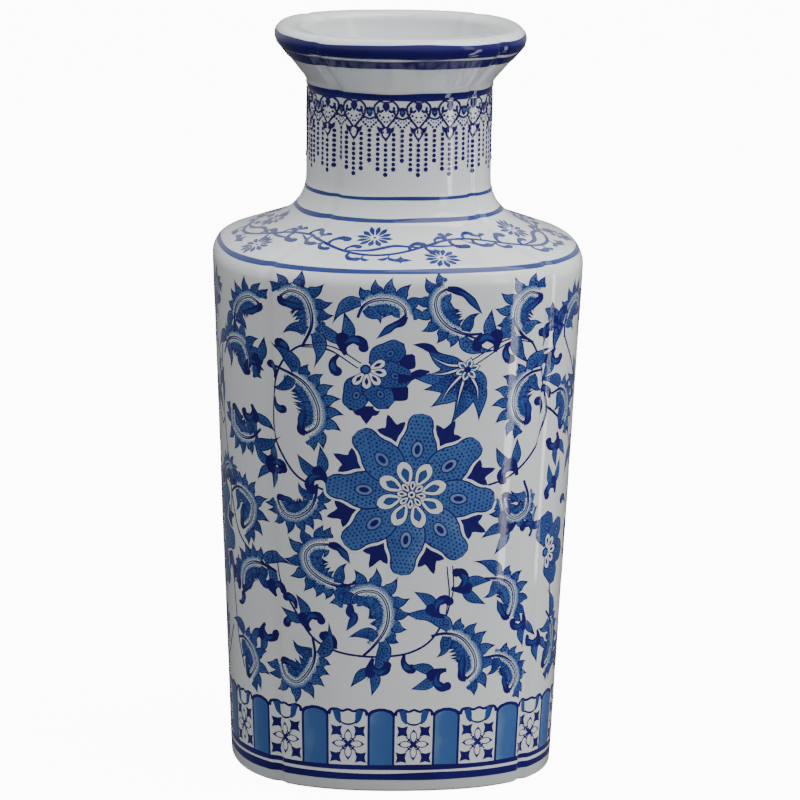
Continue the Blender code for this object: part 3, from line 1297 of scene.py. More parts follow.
@dataclass
class FlowerPanels(PaintedZone):
    """The front and back panels, with the open blossom at their middle."""

    leaves: tuple[LeafPlace, ...] = (
        LeafPlace(((-48, 216), (-44, 225), (-44, 233), (-47, 240), (-53, 242), (-58, 239)), -1, 0.92),
        LeafPlace(
            ((-24, 231), (-22, 236), (-18, 239), (-13, 240), (-8, 239), (-4, 236), (-3, 232)),
            1, 0.92, True, ((-3, 232), (-5, 229), (-9, 227), (-16, 221))
        ),
        LeafPlace(
            ((31, 223), (24, 223), (17, 226), (12, 231), (10, 237), (11, 242), (15, 245)),
            1, 0.90, True, ((15, 245), (19, 244), (24, 241), (31, 232))
        ),
        LeafPlace(((55, 217), (49, 222), (46, 229), (47, 236), (52, 241), (58, 240)), 1, 0.88),
        LeafPlace(((63, 203), (55, 202), (49, 197), (47, 189), (49, 182), (53, 178)), -1, 0.9),
        LeafPlace(
            ((-61, 205), (-53, 202), (-47, 198), (-43, 192), (-41, 185), (-42, 178), (-47, 174)), 1, 0.95
        ),
        LeafPlace(((-42, 150), (-43, 143), (-46, 137), (-52, 133), (-58, 134), (-62, 140)), 1, 0.78),
        LeafPlace(
            ((-24, 103), (-31, 101), (-39, 103), (-46, 108), (-48, 115), (-44, 120), (-37, 121)),
            1, 0.92, True, ((-37, 121), (-33, 120), (-30, 117), (-27, 112))
        ),
        LeafPlace(
            ((-21, 67), (-16, 72), (-11, 79), (-9, 86), (-10, 93), (-14, 98), (-20, 99), (-25, 97),
             (-27, 92)),
            -1, 1.0, True, ((-27, 92), (-27, 88), (-25, 86), (-29, 79))
        ),
        LeafPlace(((12, 77), (19, 78), (26, 76), (31, 71), (34, 65), (34, 59), (30, 55)), 1, 0.98),
        LeafPlace(((-45, 75), (-44, 66), (-47, 58), (-53, 52), (-59, 54), (-62, 60)), 1, 0.92),
        LeafPlace(((55, 150), (58, 142), (57, 135), (51, 132), (46, 136), (44, 143)), 1, 0.72, False),
        LeafPlace(((39, 65), (47, 65), (54, 60), (57, 53), (54, 47)), 1, 0.8, False),
        LeafPlace(((37, 104), (45, 103), (51, 99), (53, 92), (51, 84)), 1, 0.85),
    )
    sprigs: tuple[tuple[Point, float, float, bool], ...] = (
        ((37, 214), 0, 0.95, False),
        ((-29, 213), 8, 0.95, True),
        ((-16, 66), 172, 0.85, False),
        ((21, 100), -88, 0.9, False),
        ((18, 86), 55, 0.9, True),
        ((-46, 78), 28, 0.85, True),
        ((20, 60), 112, 0.9, False),
        ((51, 153), 32, 0.85, False),
        ((-37, 150), 40, 0.9, False),
        ((52, 130), 115, 0.85, True),
        ((-64, 160), 170, 0.7, False),
        ((-65, 92), 20, 0.75, True),
        ((72, 218), 10, 0.8, False),
        ((60, 122), -30, 0.7, False),
        ((59, 84), 190, 0.75, True),
    )
    commas: tuple[tuple[Point, float, float], ...] = (
        ((-55, 210), 25, 0.95),
        ((-62, 199), 15, 0.85),
        ((-62, 190), -150, 0.85),
        ((-32, 213), 165, 1.0),
        ((44, 218), 175, 1.0),
        ((62, 214), 5, 0.9),
        ((64, 181), 20, 0.95),
        ((-34, 70), 35, 1.0),
        ((-1, 68), -160, 1.0),
        ((-53, 88), 35, 0.9),
        ((-51, 82), 95, 0.9),
    )
    stems: tuple[tuple[Point, ...], ...] = (
        (
            (-23, 208), (-36, 215), (-49, 216), (-59, 205), (-63, 188), (-63, 173), (-57, 160), (-50, 152),
            (-38, 147)
        ),
        ((28, 210), (44, 219), (54, 218), (61, 205), (67, 187), (66, 175), (58, 162), (47, 153), (35, 149)),
        ((-64, 112), (-61, 100), (-51, 83), (-44, 74), (-34, 69), (-22, 67), (-10, 67), (2, 69), (12, 75),
         (19, 87), (21, 98)),
        ((-26, 103), (-20, 105)),
        ((18, 226), (28, 221), (36, 222)),
        ((67, 184), (77, 177), (90, 168)),
        ((38, 104), (32, 102)),
    )
    double_stems: tuple[tuple[Point, ...], ...] = (
        ((-49, 216), (-36, 216), (-23, 208)),
        ((56, 217), (44, 219), (27, 209)),
        ((19, 88), (21, 98), (20, 111)),
    )
    blossom: Point = (1.0, 146.0)

    def turns(self) -> dict[str, float]:
        """Return the front and back copies."""
        return {"front": 0.0, "back": math.pi}

    def greenery(self) -> Drawing:
        """Return a drawing of the stems, leaves and buds, for the flowers to lie over."""
        flat = Drawing.on(self.form, self.radius)
        stem, leaf, buds = Stem(), Leaf(), Buds()
        for points in self.stems:
            stem.draw(flat, points)
        for points in self.double_stems:
            stem.draw_double(flat, points)
        for place in self.leaves:
            leaf.draw(flat, place)
        for place, turn, size in self.commas:
            buds.comma(Brush(flat, *place, turn), size)
        for place, turn, size, mirrored in self.sprigs:
            buds.sprig(Brush(flat, *place, turn, size), mirrored)
        return flat

    def drawing(self) -> Drawing:
        """Draw the greenery, then the flowers, the blossom over all."""
        flat = self.greenery()
        for place, turn in (((-2, 210), 52), ((-5, 195), 46)):
            self.diamond(Brush(flat, *place, turn))
        self.trefoil(Brush(flat, -20, 186, -90, 0.9))
        FanFlower().draw(Brush(flat, -20, 206, -34, 0.93))
        Brush(flat).stroke(Tone.LINE, [(-6, 202), (0, 202.5), (6, 204.5)], [2.4, 1.2, 0.0])
        BellFlower().draw(Brush(flat, 25, 206))
        Blossom().draw(Brush(flat, *self.blossom))
        return flat

    @staticmethod
    def diamond(brush: Brush) -> None:
        """Draw a dark square set on its corner."""
        brush.drawing.fresh()
        brush.stroke(Tone.LINE, [(-4.4, 0), (-2.2, 0), (2.2, 0), (4.4, 0)], [0.9, 3.0, 4.4, 3.0, 0.9])

    @staticmethod
    def trefoil(brush: Brush) -> None:
        """Draw a dark three-pointed leaf.

        Args:
            brush: Brush at its middle, turned along its long point.
        """
        brush.drawing.fresh()
        brush.stroke(Tone.LINE, [(-3, 0), (7, 0)], [3.4, 3.8, 2.2, 0.0])
        for side in (1, -1):
            brush.drawing.next_layer()
            brush.stroke(
                Tone.LINE, [(-1, side * 1.0), (0.6, side * 4.2), (-0.6, side * 7.0)], [1.6, 1.7, 0.0]
            )


@dataclass
class SidePanels(FlowerPanels):
    """The two side panels, where the same plants grow round a lower flower."""

    leaves: tuple[LeafPlace, ...] = (
        LeafPlace(((43, 218), (43, 226), (48, 233), (55, 236), (61, 234)), 1, 0.85),
        LeafPlace(((28, 204), (34, 211), (42, 214), (49, 213), (53, 207), (53, 200)), 1, 0.9),
        LeafPlace(((60, 173), (54, 168), (46, 167), (38, 171), (37, 179)), 1, 0.9),
        LeafPlace(((31, 137), (39, 141), (47, 140), (53, 135), (51, 127), (45, 122)), 1, 0.9),
        LeafPlace(((66, 104), (59, 107), (50, 106), (43, 101), (41, 93)), -1, 0.9),
        LeafPlace(((34, 66), (41, 67), (48, 63), (51, 56), (46, 49)), 1, 0.9),
        LeafPlace(((-53, 82), (-46, 75), (-43, 67), (-45, 58), (-51, 54)), 1, 0.85),
        LeafPlace(((-61, 190), (-53, 191), (-47, 186), (-45, 179), (-49, 172)), 1, 0.85),
        LeafPlace(((-24, 220), (-23, 228), (-17, 234), (-9, 234), (-4, 228)), 1, 0.9),
        LeafPlace(((8, 214), (5, 222), (7, 230), (14, 235), (22, 231)), 1, 0.85),
        LeafPlace(((-53, 216), (-53, 224), (-48, 231), (-40, 233), (-35, 228)), 1, 0.85),
        LeafPlace(((-31, 150), (-28, 159), (-21, 165), (-13, 163), (-10, 156)), 1, 0.9),
        LeafPlace(((11, 174), (6, 182), (-3, 186), (-12, 183), (-15, 175)), -1, 0.9),
        LeafPlace(((-35, 49), (-31, 57), (-23, 61), (-14, 58), (-11, 51)), 1, 0.85),
        LeafPlace(((15, 59), (10, 68), (1, 72), (-7, 68), (-9, 60)), -1, 0.8, False),
        LeafPlace(((14, 136), (20, 146), (29, 149), (36, 144)), 1, 0.7, False),
    )
    sprigs: tuple[tuple[Point, float, float, bool], ...] = (
        ((60, 200), 20, 0.85, False),
        ((54, 184), 200, 0.8, True),
        ((59, 78), 160, 0.8, False),
        ((66, 152), 10, 0.8, True),
        ((-55, 222), 60, 0.8, True),
        ((-60, 212), 150, 0.75, False),
        ((-54, 170), 190, 0.8, True),
        ((-52, 140), 20, 0.8, False),
        ((30, 92), -20, 0.8, True),
        ((-10, 208), 170, 0.8, False),
        ((24, 196), 150, 0.8, True),
        ((-30, 190), 60, 0.8, False),
        ((-60, 74), 190, 0.75, True),
        ((8, 46), 80, 0.7, False),
    )
    commas: tuple[tuple[Point, float, float], ...] = (
        ((61, 204), 20, 0.8),
        ((47, 177), 160, 0.8),
        ((-62, 188), 30, 0.8),
        ((-36, 132), 60, 0.9),
        ((36, 84), -60, 0.9),
        ((0, 200), 20, 0.9),
    )
    stems: tuple[tuple[Point, ...], ...] = (
        ((30, 216), (24, 205), (22, 190), (24, 170), (28, 150), (31, 137), (40, 118), (60, 107), (66, 100)),
        ((31, 137), (28, 110), (30, 90), (34, 66), (40, 52)),
        ((-63, 184), (-53, 177), (-40, 168), (-30, 150), (-28, 140)),
        ((-40, 168), (-30, 185), (-10, 200), (8, 206), (22, 198)),
        ((-30, 185), (-40, 200), (-49, 211), (-53, 217)),
        ((-24, 192), (-27, 206), (-24, 221)),
        ((12, 206), (9, 210), (8, 215)),
        ((24, 172), (18, 168), (11, 175)),
        ((-28, 140), (-25, 132), (-24, 124)),
        ((-52, 108), (-50, 90), (-44, 62), (-30, 50), (-8, 48), (12, 54), (26, 70)),
    )
    double_stems: tuple[tuple[Point, ...], ...] = ()
    blossom: Point = (0.0, 116.0)

    def turns(self) -> dict[str, float]:
        """Return the right and left copies."""
        return {"right": QUARTER, "left": -QUARTER}

    def drawing(self) -> Drawing:
        """Draw the greenery, then the fan flower and the blossom."""
        flat = self.greenery()
        FanFlower().draw(Brush(flat, -57, 112, 20, 0.9))
        Blossom().draw(Brush(flat, *self.blossom, 0, 0.86))
        return flat


@dataclass
class FootBorder(PaintedZone):
    """Sixteen blue columns round the foot, with a white panel and a cross between each pair."""

    periods: int = 16
    shift: float = 4.3
    low: float = 12.6
    column_half: float = 6.5
    column_top: float = 41.4

    def drawing(self) -> Drawing:
        """Draw every column and panel of the ring."""
        flat = Drawing.on(self.form, self.radius)
        period = 2 * math.pi * self.radius / self.periods
        for k in range(self.periods):
            middle = (k - self.periods / 2) * period + self.shift
            self.column(Brush(flat, middle + period / 2, 0.0))
            self.panel(Brush(flat, middle, 0.0), period)
        return flat

    def column(self, brush: Brush) -> None:
        """Draw one arched column with its watery wash.

        Args:
            brush: Brush on the ground line, at the column's middle.
        """
        brush.drawing.fresh()
        top, half = self.column_top, self.column_half
        rise = [(0, self.low), (0, top)]
        steps = np.linspace(self.low, top, 36)
        round_top = np.sqrt(np.clip(1 - (np.clip(steps - top + 3.6, 0, None) / 3.7) ** 2, 0.02, 1))
        brush.stroke(Tone.LINE, rise, (half * round_top).tolist())
        brush.drawing.next_layer()
        inside = half - 1.1
        brush.stroke(Tone.WASH, [(0, self.low), (0, top - 1.5)], (inside * round_top).tolist(), (0.46, 0.60))
        brush.drawing.next_layer()

    def panel(self, brush: Brush, period: float) -> None:
        """Draw one white panel: its bracket, its cup, its cross and its four stars.

        Args:
            brush: Brush on the ground line, at the panel's middle.
            period: Distance between the middles of two columns.
        """
        drawing = brush.drawing
        drawing.fresh()
        side = period / 2 - self.column_half
        scallop = [
            (-side, 37.8), (-8.0, 40.2), (-5.2, 40.4), (-2.6, 39.7), (0, 40.6), (2.6, 39.7), (5.2, 40.4),
            (8.0, 40.2), (side, 37.8)
        ]
        brush.stroke(Tone.LINE, scallop, [0.95, 0.7, 0.8, 0.6, 0.6, 0.6, 0.8, 0.7, 0.95])
        drawing.next_layer()
        for sense in (1, -1):
            post = [(sense * 5.8, 40.2), (sense * 5.0, 38.0), (sense * 4.6, 35.8), (sense * 3.4, 33.8)]
            brush.stroke(Tone.WASH, post, [1.5, 1.6, 1.3, 0.6], (0.84, 0.72))
        drawing.next_layer()
        brush.stroke(
            Tone.LINE, [(-3.6, 34.4), (-1.8, 33.5), (0, 33.2), (1.8, 33.5), (3.6, 34.4)], [0.35, 0.45, 0.35]
        )
        cross = brush.at(0, 23.6)
        for turn, reach in ((0, 7.9), (180, 7.9), (90, 7.6), (270, 8.2)):
            cross.at(0, 0, turn).lobe(
                [(0.4, 0), (reach, 0)], [0.2, 1.3, 1.75, 1.2, 0.0], 0.42, pitch=0, fill=Tone.SLIP
            )
        for turn in (45, 135, 225, 315):
            arm = cross.at(0, 0, turn)
            arm.stroke(Tone.LINE, [(0.6, 0), (5.2, 0)], [0.6, 0.3, 0.26])
            arm.stroke(Tone.LINE, [(2.9, -1.0), (3.3, 0), (2.9, 1.0)], [0.3])
        drawing.next_layer()
        cross.disc(Tone.LINE, 0, 0, 0.95)
        drawing.next_layer()
        for x, y in ((-5.4, 30.0), (5.4, 30.0), (-5.9, 17.0), (5.9, 17.0)):
            for turn in (45, 135):
                brush.at(x, y, turn).stroke(Tone.LINE, [(-3.9, 0), (0, 0), (3.9, 0)], [0.0, 1.75, 0.0])
                drawing.next_layer()


@dataclass
class Bands(PaintedZone):
    """Plain painted bands that run right round the form."""

    bands: tuple[tuple[float, float], ...] = ()
    tone: Tone = Tone.LINE
    pool: float = 0.5
    wander: float = 0.12
    ground: float = 0.10
    steps: int = 264

    def drawing(self) -> Drawing:
        """Draw each band by hand, a little uneven."""
        spans = [self.form.run_at(z * MM) / MM for band in self.bands for z in band]
        flat = Drawing.on(self.form, self.radius, (min(spans) - 2, max(spans) + 2))
        flat.ground = self.ground
        around = 2 * math.pi * self.radius
        for count, (low, high) in enumerate(self.bands):
            bottom, top = (self.form.run_at(z * MM) / MM for z in (low, high))
            across = np.linspace(-around / 2, around / 2, self.steps + 1)
            turn = across / self.radius
            drift = self.wander * (np.sin(3 * turn + count) + 0.6 * np.sin(7 * turn + 2 * count))
            swell = 1 + 0.10 * np.sin(5 * turn + 1.3 * count) + 0.05 * np.sin(11 * turn)
            path = np.column_stack([across, (bottom + top) / 2 + drift])
            rise = np.column_stack([np.zeros(len(path)), (top - bottom) / 2 * swell])
            n = len(path)
            faces = [(k + n, k + 1 + n, k + 1, k) for k in range(n - 1)]
            flat.add(self.tone, np.vstack([path + rise, path - rise]), np.full(2 * n, self.pool), faces)
        return flat


@dataclass
class ShoulderVine(PaintedZone):
    """A waving vine round the shoulder, with daisies on both sides of it."""

    periods: int = 5
    edge_height: float = 252.3

    def drawing(self) -> Drawing:
        """Draw the vine once for each of its waves."""
        start = self.form.run_at(self.edge_height * MM) / MM
        flat = Drawing.on(self.form, self.radius, (start - 1, start + 45))
        period = 2 * math.pi * self.radius / self.periods
        for k in range(self.periods):
            middle = (k - self.periods / 2 + 0.5) * period - 18.0
            self.wave(Brush(flat, middle, start), period)
        return flat

    def held(
        self, brush: Brush, x: float, y: float, turn: float = 0.0, size: float = 1.0, flip: bool = False
    ) -> Brush:
        """Return a brush at a place of the slope, stretched as the slope narrows upwards.

        Args:
            brush: The wave's own brush.
            x: Across, from the wave's middle.
            y: Up, from the edge line.
            turn: Anticlockwise turn, in degrees.
            size: Change of size.
            flip: Whether to mirror what it draws.

        Returns:
            The stretched brush.
        """
        middle = float(np.interp((brush.y + y) * MM, self.form.runs, [r for r, _ in self.form.outline]))
        place = brush.at(x, y, turn, size, flip)
        return Brush(
            place.drawing, place.x, place.y, place.turn, place.size, place.flip, self.radius * MM / middle
        )

    def wave(self, brush: Brush, period: float) -> None:
        """Draw one wave of the vine and what grows on it.

        Args:
            brush: Brush at the wave's lowest point, on the shoulder's edge line.
            period: Length of the wave.
        """
        drawing = brush.drawing
        drawing.fresh()

        def vine(x: float) -> float:
            """Return how high the vine runs there."""
            return 20.5 - 7.4 * math.cos(2 * math.pi * x / period)

        marks = [(x * period / 16, vine(x * period / 16)) for x in range(-8, 9)]
        brush.stroke(Tone.WASH, marks, [0.92], (0.97, 0.97))
        drawing.next_layer()
        for strand, widths in (
            (
                [(-13, vine(-13) + 1), (-2, 17.6), (10, 22.0), (24, vine(24)), (34, 24.0)],
                [0.4, 1.1, 1.25, 1.0, 0.6, 0.3]
            ),
            ([(26, vine(26)), (36, 21.5), (47, 22.0)], [0.3, 0.9, 0.7, 0.2]),
            ([(-46, vine(-46) - 1), (-36, 20.0), (-27, vine(-27))], [0.2, 0.7, 0.9, 0.3]),
        ):
            brush.stroke(Tone.WASH, strand, widths, (0.92, 0.92))
            drawing.next_layer(0.5)
        self.daisy(self.held(brush, -2, 29.5, 8, 1.0))
        self.daisy(self.held(brush, 32, 10.8, -6, 1.0))
        for x, side, size in ((-43, 1, 0.72), (-39, -1, 0.85), (-28, -1, 0.72), (-25, 1, 1.0), (-14, 1, 0.75),
                              (-11, -1, 0.8), (18, 1, 0.95), (27, -1, 0.7), (33, 1, 0.7), (42, -1, 0.9)):
            self.curl(self.held(brush, x, vine(x), -8, size, side < 0))
            drawing.next_layer()
        for x, side in ((-34, 1), (-4, -1), (8, -1), (40, 1)):
            self.pair(self.held(brush, x, vine(x), 0 if side > 0 else 180, 0.72))
            drawing.next_layer()
        star = self.held(brush, 13, 8.6)
        for turn, reach in ((0, 5.6), (90, 3.8), (180, 6.0), (270, 2.8)):
            star.at(0, 0, turn).stroke(Tone.WASH, [(-1, 0), (reach, 0)], [1.6, 1.3, 0.0], (0.88, 0.88))
            drawing.next_layer(0.5)

    @staticmethod
    def daisy(brush: Brush) -> None:
        """Draw twelve narrow petals round a dot.

        Args:
            brush: Brush at the flower's middle.
        """
        for k in range(12):
            petal = brush.at(0, 0, 30 * k + 15)
            reach = 8.3 + 0.5 * (k % 2)
            petal.stroke(Tone.WASH, [(2.2, 0), (reach, 0)], [0.25, 0.7, 1.2, 1.05, 0.0], (0.90, 0.90))
        brush.disc(Tone.WASH, 0, 0, 0.8, 10, 1.0, 0.82)

    @staticmethod
    def curl(brush: Brush) -> None:
        """Draw one leaf that curls up from the vine and ends in a drop.

        Args:
            brush: Brush where the leaf leaves the vine.
        """
        brush.stroke(
            Tone.WASH, [(0, 0), (-0.4, 3.6), (2.2, 6.8), (6.2, 7.4)], [0.9, 0.95, 1.15, 1.8, 1.6],
            (0.97, 0.90)
        )
        brush.drawing.next_layer()
        brush.disc(Tone.WASH, 6.3, 6.7, 2.15, 12, 1.0, 0.90)

    @staticmethod
    def pair(brush: Brush) -> None:
        """Draw a stalk with a small leaf to each side.

        Args:
            brush: Brush where the stalk leaves the vine.
        """
        brush.stroke(Tone.WASH, [(0, 0), (0.8, 3.2), (1.6, 6.0)], [0.5, 0.45, 0.4], (0.85, 0.85))
        for reach in (-5.4, 6.0):
            brush.drawing.next_layer()
            brush.stroke(
                Tone.WASH, [(1.2, 4.4), (1.2 + reach * 0.5, 7.0), (1.2 + reach, 6.4)], [0.5, 1.4, 1.5, 0.3],
                (0.88, 0.80)
            )


@dataclass
class NeckLace(PaintedZone):
    """The hanging lace of the neck: heart pendants, tassels and strings of beads."""

    pendants: int = 18
    top: float = 326.9

    def drawing(self) -> Drawing:
        """Draw every pendant of the ring."""
        flat = Drawing.on(self.form, self.radius)
        period = 2 * math.pi * self.radius / self.pendants
        start = self.form.run_at(self.top * MM) / MM
        for k in range(self.pendants):
            self.pendant(Brush(flat, (k - self.pendants / 2) * period + 0.35 * period, start))
            self.swag(Brush(flat, (k - self.pendants / 2) * period + 0.85 * period, start))
        return flat

    def pendant(self, brush: Brush) -> None:
        """Draw a heart with a dark flower below it and three strings of beads.

        Args:
            brush: Brush on the upper edge, at the heart's middle.
        """
        drawing = brush.drawing
        drawing.fresh()
        for sense in (1, -1):
            outline = [
                (sense * 0.8, -1.6), (sense * 3.0, -0.9), (sense * 5.5, -3.4), (sense * 5.0, -7.4),
                (sense * 2.2, -11.2), (0, -14.0)
            ]
            brush.stroke(Tone.LINE, outline, [0.4, 0.5, 0.52, 0.5, 0.5, 0.55])
            drawing.next_layer()
            scroll = [(sense * 3.6, -3.4), (sense * 3.7, -5.0), (sense * 2.5, -5.9), (sense * 1.3, -4.9)]
            brush.stroke(Tone.LINE, scroll, [0.5, 0.6, 0.6, 0.5])
            for x, y, size in (
                (1.2, -8.4, 0.55), (3.0, -7.6, 0.55), (0.6, -10.6, 0.5), (4.2, -5.6, 0.45), (2.0, -9.6, 0.4)
            ):
                brush.disc(Tone.LINE, sense * x, y, size, 8)
            drawing.next_layer()
        brush.stroke(Tone.LINE, [(0, -1.0), (0, -6.2)], [0.7, 1.5, 1.7, 0.9, 0.0])
        drawing.next_layer()
        brush.stroke(
            Tone.LINE, [(-4.2, -12.4), (-2.6, -14.6), (0, -14.4), (2.6, -14.6), (4.2, -12.4)],
            [0.0, 1.2, 1.5, 1.2, 0.0]
        )
        drawing.next_layer()
        brush.lobe([(0, -13.6), (0, -20.2)], [1.8, 2.5, 2.1, 1.1, 0.0], 1.05, pitch=0, fill=Tone.SLIP)
        self.beads(brush, 0.0, -21.6, -37.2)
        for sense in (1, -1):
            self.beads(brush, sense * 3.7, -16.6, -34.4)

    def swag(self, brush: Brush) -> None:
        """Draw the dark bud and the dotted swag between two pendants, and their string.

        Args:
            brush: Brush on the upper edge, midway between two hearts.
        """
        drawing = brush.drawing
        drawing.fresh()
        for sense in (1, -1):
            brush.stroke(Tone.LINE, [(0, -9.4), (sense * 2.4, -8.4), (sense * 4.2, -5.8)], [0.5, 0.45, 0.4])
            drawing.next_layer()
            brush.stroke(Tone.LINE, [(0, -5.4), (sense * 1.3, -4.4), (sense * 2.2, -5.8)], [0.9, 0.7, 0.3])
            drawing.next_layer()
            for k in range(4):
                x = 0.9 + 1.05 * k
                brush.disc(Tone.LINE, sense * x, -13.0 + 1.0 * k, 0.6, 8)
                brush.disc(Tone.LINE, sense * (x - 0.2), -10.9 + 0.9 * k, 0.4, 6)
        brush.stroke(Tone.LINE, [(0, -3.6), (0, -8.2)], [0.5, 1.2, 1.4, 0.4])
        drawing.next_layer()
        brush.disc(Tone.WASH, 0, -5.8, 0.8, 8, 1.0, 0.5)
        self.beads(brush, 0.0, -14.8, -31.0)

    @staticmethod
    def beads(brush: Brush, x: float, top: float, bottom: float) -> None:
        """Draw a string of round beads that hangs straight down.

        Args:
            brush: Brush on the upper edge.
            x: Across, in this brush's frame.
            top: Height of the first bead.
            bottom: How low the last may hang.
        """
        pitch = 2.35
        count = int((top - bottom) / pitch) + 1
        for k in range(count):
            size = 0.95 if k < count - 1 else 1.1
            brush.disc(Tone.LINE, x, top - pitch * k, size, 10)


# ---------------------------------------------------------------------------------------------
# Clay
# ---------------------------------------------------------------------------------------------


def throw(name: str, outline: list[Point], form: Form, closed: bool) -> bpy.types.Object:
    """Throw a round form ring by ring, then press the panels and grooves into it.

    Args:
        name: Name of the piece.
        outline: Its outline, as (radius, height).
        form: The form that it is pressed to.
        closed: Whether the outline comes back to its start; otherwise a disc closes each end.

    Returns:
        The closed piece.
    """
    angles = form.ring_angles()
    radius, height = outline[0]
    ends = "NOTHING" if closed else "NGON"
    bpy.ops.object.select_all(action="DESELECT")
    bpy.ops.mesh.primitive_circle_add(
        vertices=len(angles), radius=radius, fill_type=ends, location=(0, 0, height)
    )
    piece = bpy.context.object
    piece.name = piece.data.name = name
    bpy.ops.object.transform_apply(location=True, rotation=True, scale=True)
    bpy.ops.object.mode_set(mode="EDIT")
    bpy.ops.mesh.select_mode(type="EDGE")
    bpy.ops.mesh.select_all(action="SELECT")
    for wider, higher in outline[1:] + (outline[:1] if closed else []):
        bpy.ops.mesh.extrude_edges_move(TRANSFORM_OT_translate={"value": (0, 0, higher - height)})
        grow = wider / radius
        bpy.ops.transform.resize(value=(grow, grow, 1), center_override=(0, 0, higher))
        radius, height = wider, higher
    if closed:
        bpy.ops.mesh.select_all(action="SELECT")
        bpy.ops.mesh.remove_doubles(threshold=0.01 * MM)
    else:
        bpy.ops.mesh.edge_face_add()
    bpy.ops.object.mode_set(mode="OBJECT")
    press(piece.data, angles, form)
    take(piece)
    bpy.ops.object.mode_set(mode="EDIT")
    bpy.ops.mesh.select_all(action="SELECT")
    bpy.ops.mesh.normals_make_consistent(inside=False)
    bpy.ops.object.mode_set(mode="OBJECT")
    bpy.ops.object.shade_smooth_by_angle(angle=CLAY_SMOOTH)
    return piece


def press(data: bpy.types.Mesh, angles: list[float], form: Form) -> None:
    """Press the four panels and their grooves into a round form.

    Args:
        data: Mesh of the round form.
        angles: Angles of its rings.
        form: The form to press it to.
    """
    count = len(angles)
    points = np.empty(len(data.vertices) * 3)
    data.vertices.foreach_get("co", points)
    points = points.reshape(-1, 3)
    reach = np.hypot(points[:, 0], points[:, 1])
    turn = np.mod(np.arctan2(points[:, 1], points[:, 0]), 2 * math.pi)
    place = np.mod(np.rint(turn / (2 * math.pi) * count).astype(int), count)
    turn = np.array(angles)[place]
    pressed = form.section(turn, reach, points[:, 2])
    points[:, 0], points[:, 1] = pressed * np.cos(turn), pressed * np.sin(turn)
    data.vertices.foreach_set("co", points.ravel())
    data.update()


@dataclass
class GlazedBody:
    """The pressed and glazed body: underside, wall, shoulder, neck, lip and inside in one skin."""

    form: Form
    name: str = "glazed_body"
    pole_radius: float = 3.0 * MM
    wide_step: float = 12.0 * MM

    def outline(self) -> list[Point]:
        """Return the whole outline, from the middle of the underside round to the floor inside."""
        form, step = self.form, self.wide_step
        low = form.base_height
        outside = [point for point in form.outline if point[1] > low + 0.5 * MM]
        foot = (form.body_radius(low), low)
        pole = (self.pole_radius, low)
        under = [pole] + spaced(pole, foot, step) + [foot]
        inner = form.inner_outline()
        middle = (self.pole_radius, form.floor_top)
        return under + outside + inner[1:] + spaced(inner[-1], middle, step) + [middle]

    def build(self) -> bpy.types.Object:
        """Return the closed body."""
        return throw(self.name, self.outline(), self.form, False)

    def dress(self, body: bpy.types.Object) -> None:
        """Glaze the body."""
        body.data.materials.clear()
        body.data.materials.append(PORCELAIN.make())


@dataclass
class FootRing:
    """The ring that the vase stands on, glazed outside and wiped bare below."""

    form: Form
    name: str = "foot_ring_wiped"
    width: float = 9.0 * MM
    edge: float = 1.6 * MM

    def build(self) -> bpy.types.Object:
        """Return the closed ring."""
        form, bevel = self.form, 1.0 * MM
        high = form.base_height - 0.02 * MM
        outer = form.body_radius(high)
        inner = outer - self.width
        low = form.body_radius(self.edge) - self.edge
        outline = [(inner, high), (inner, bevel), (inner + bevel, 0.0), (low, 0.0)]
        outline += arc((low, self.edge), self.edge, -QUARTER, 0.0, 6)[1:] + [(outer, high)]
        return throw(self.name, outline, form, True)

    def dress(self, ring: bpy.types.Object) -> None:
        """Give the ring its wiped clay."""
        ring.data.materials.clear()
        ring.data.materials.append(BareFoot().make())


# ---------------------------------------------------------------------------------------------
# Studio
# ---------------------------------------------------------------------------------------------


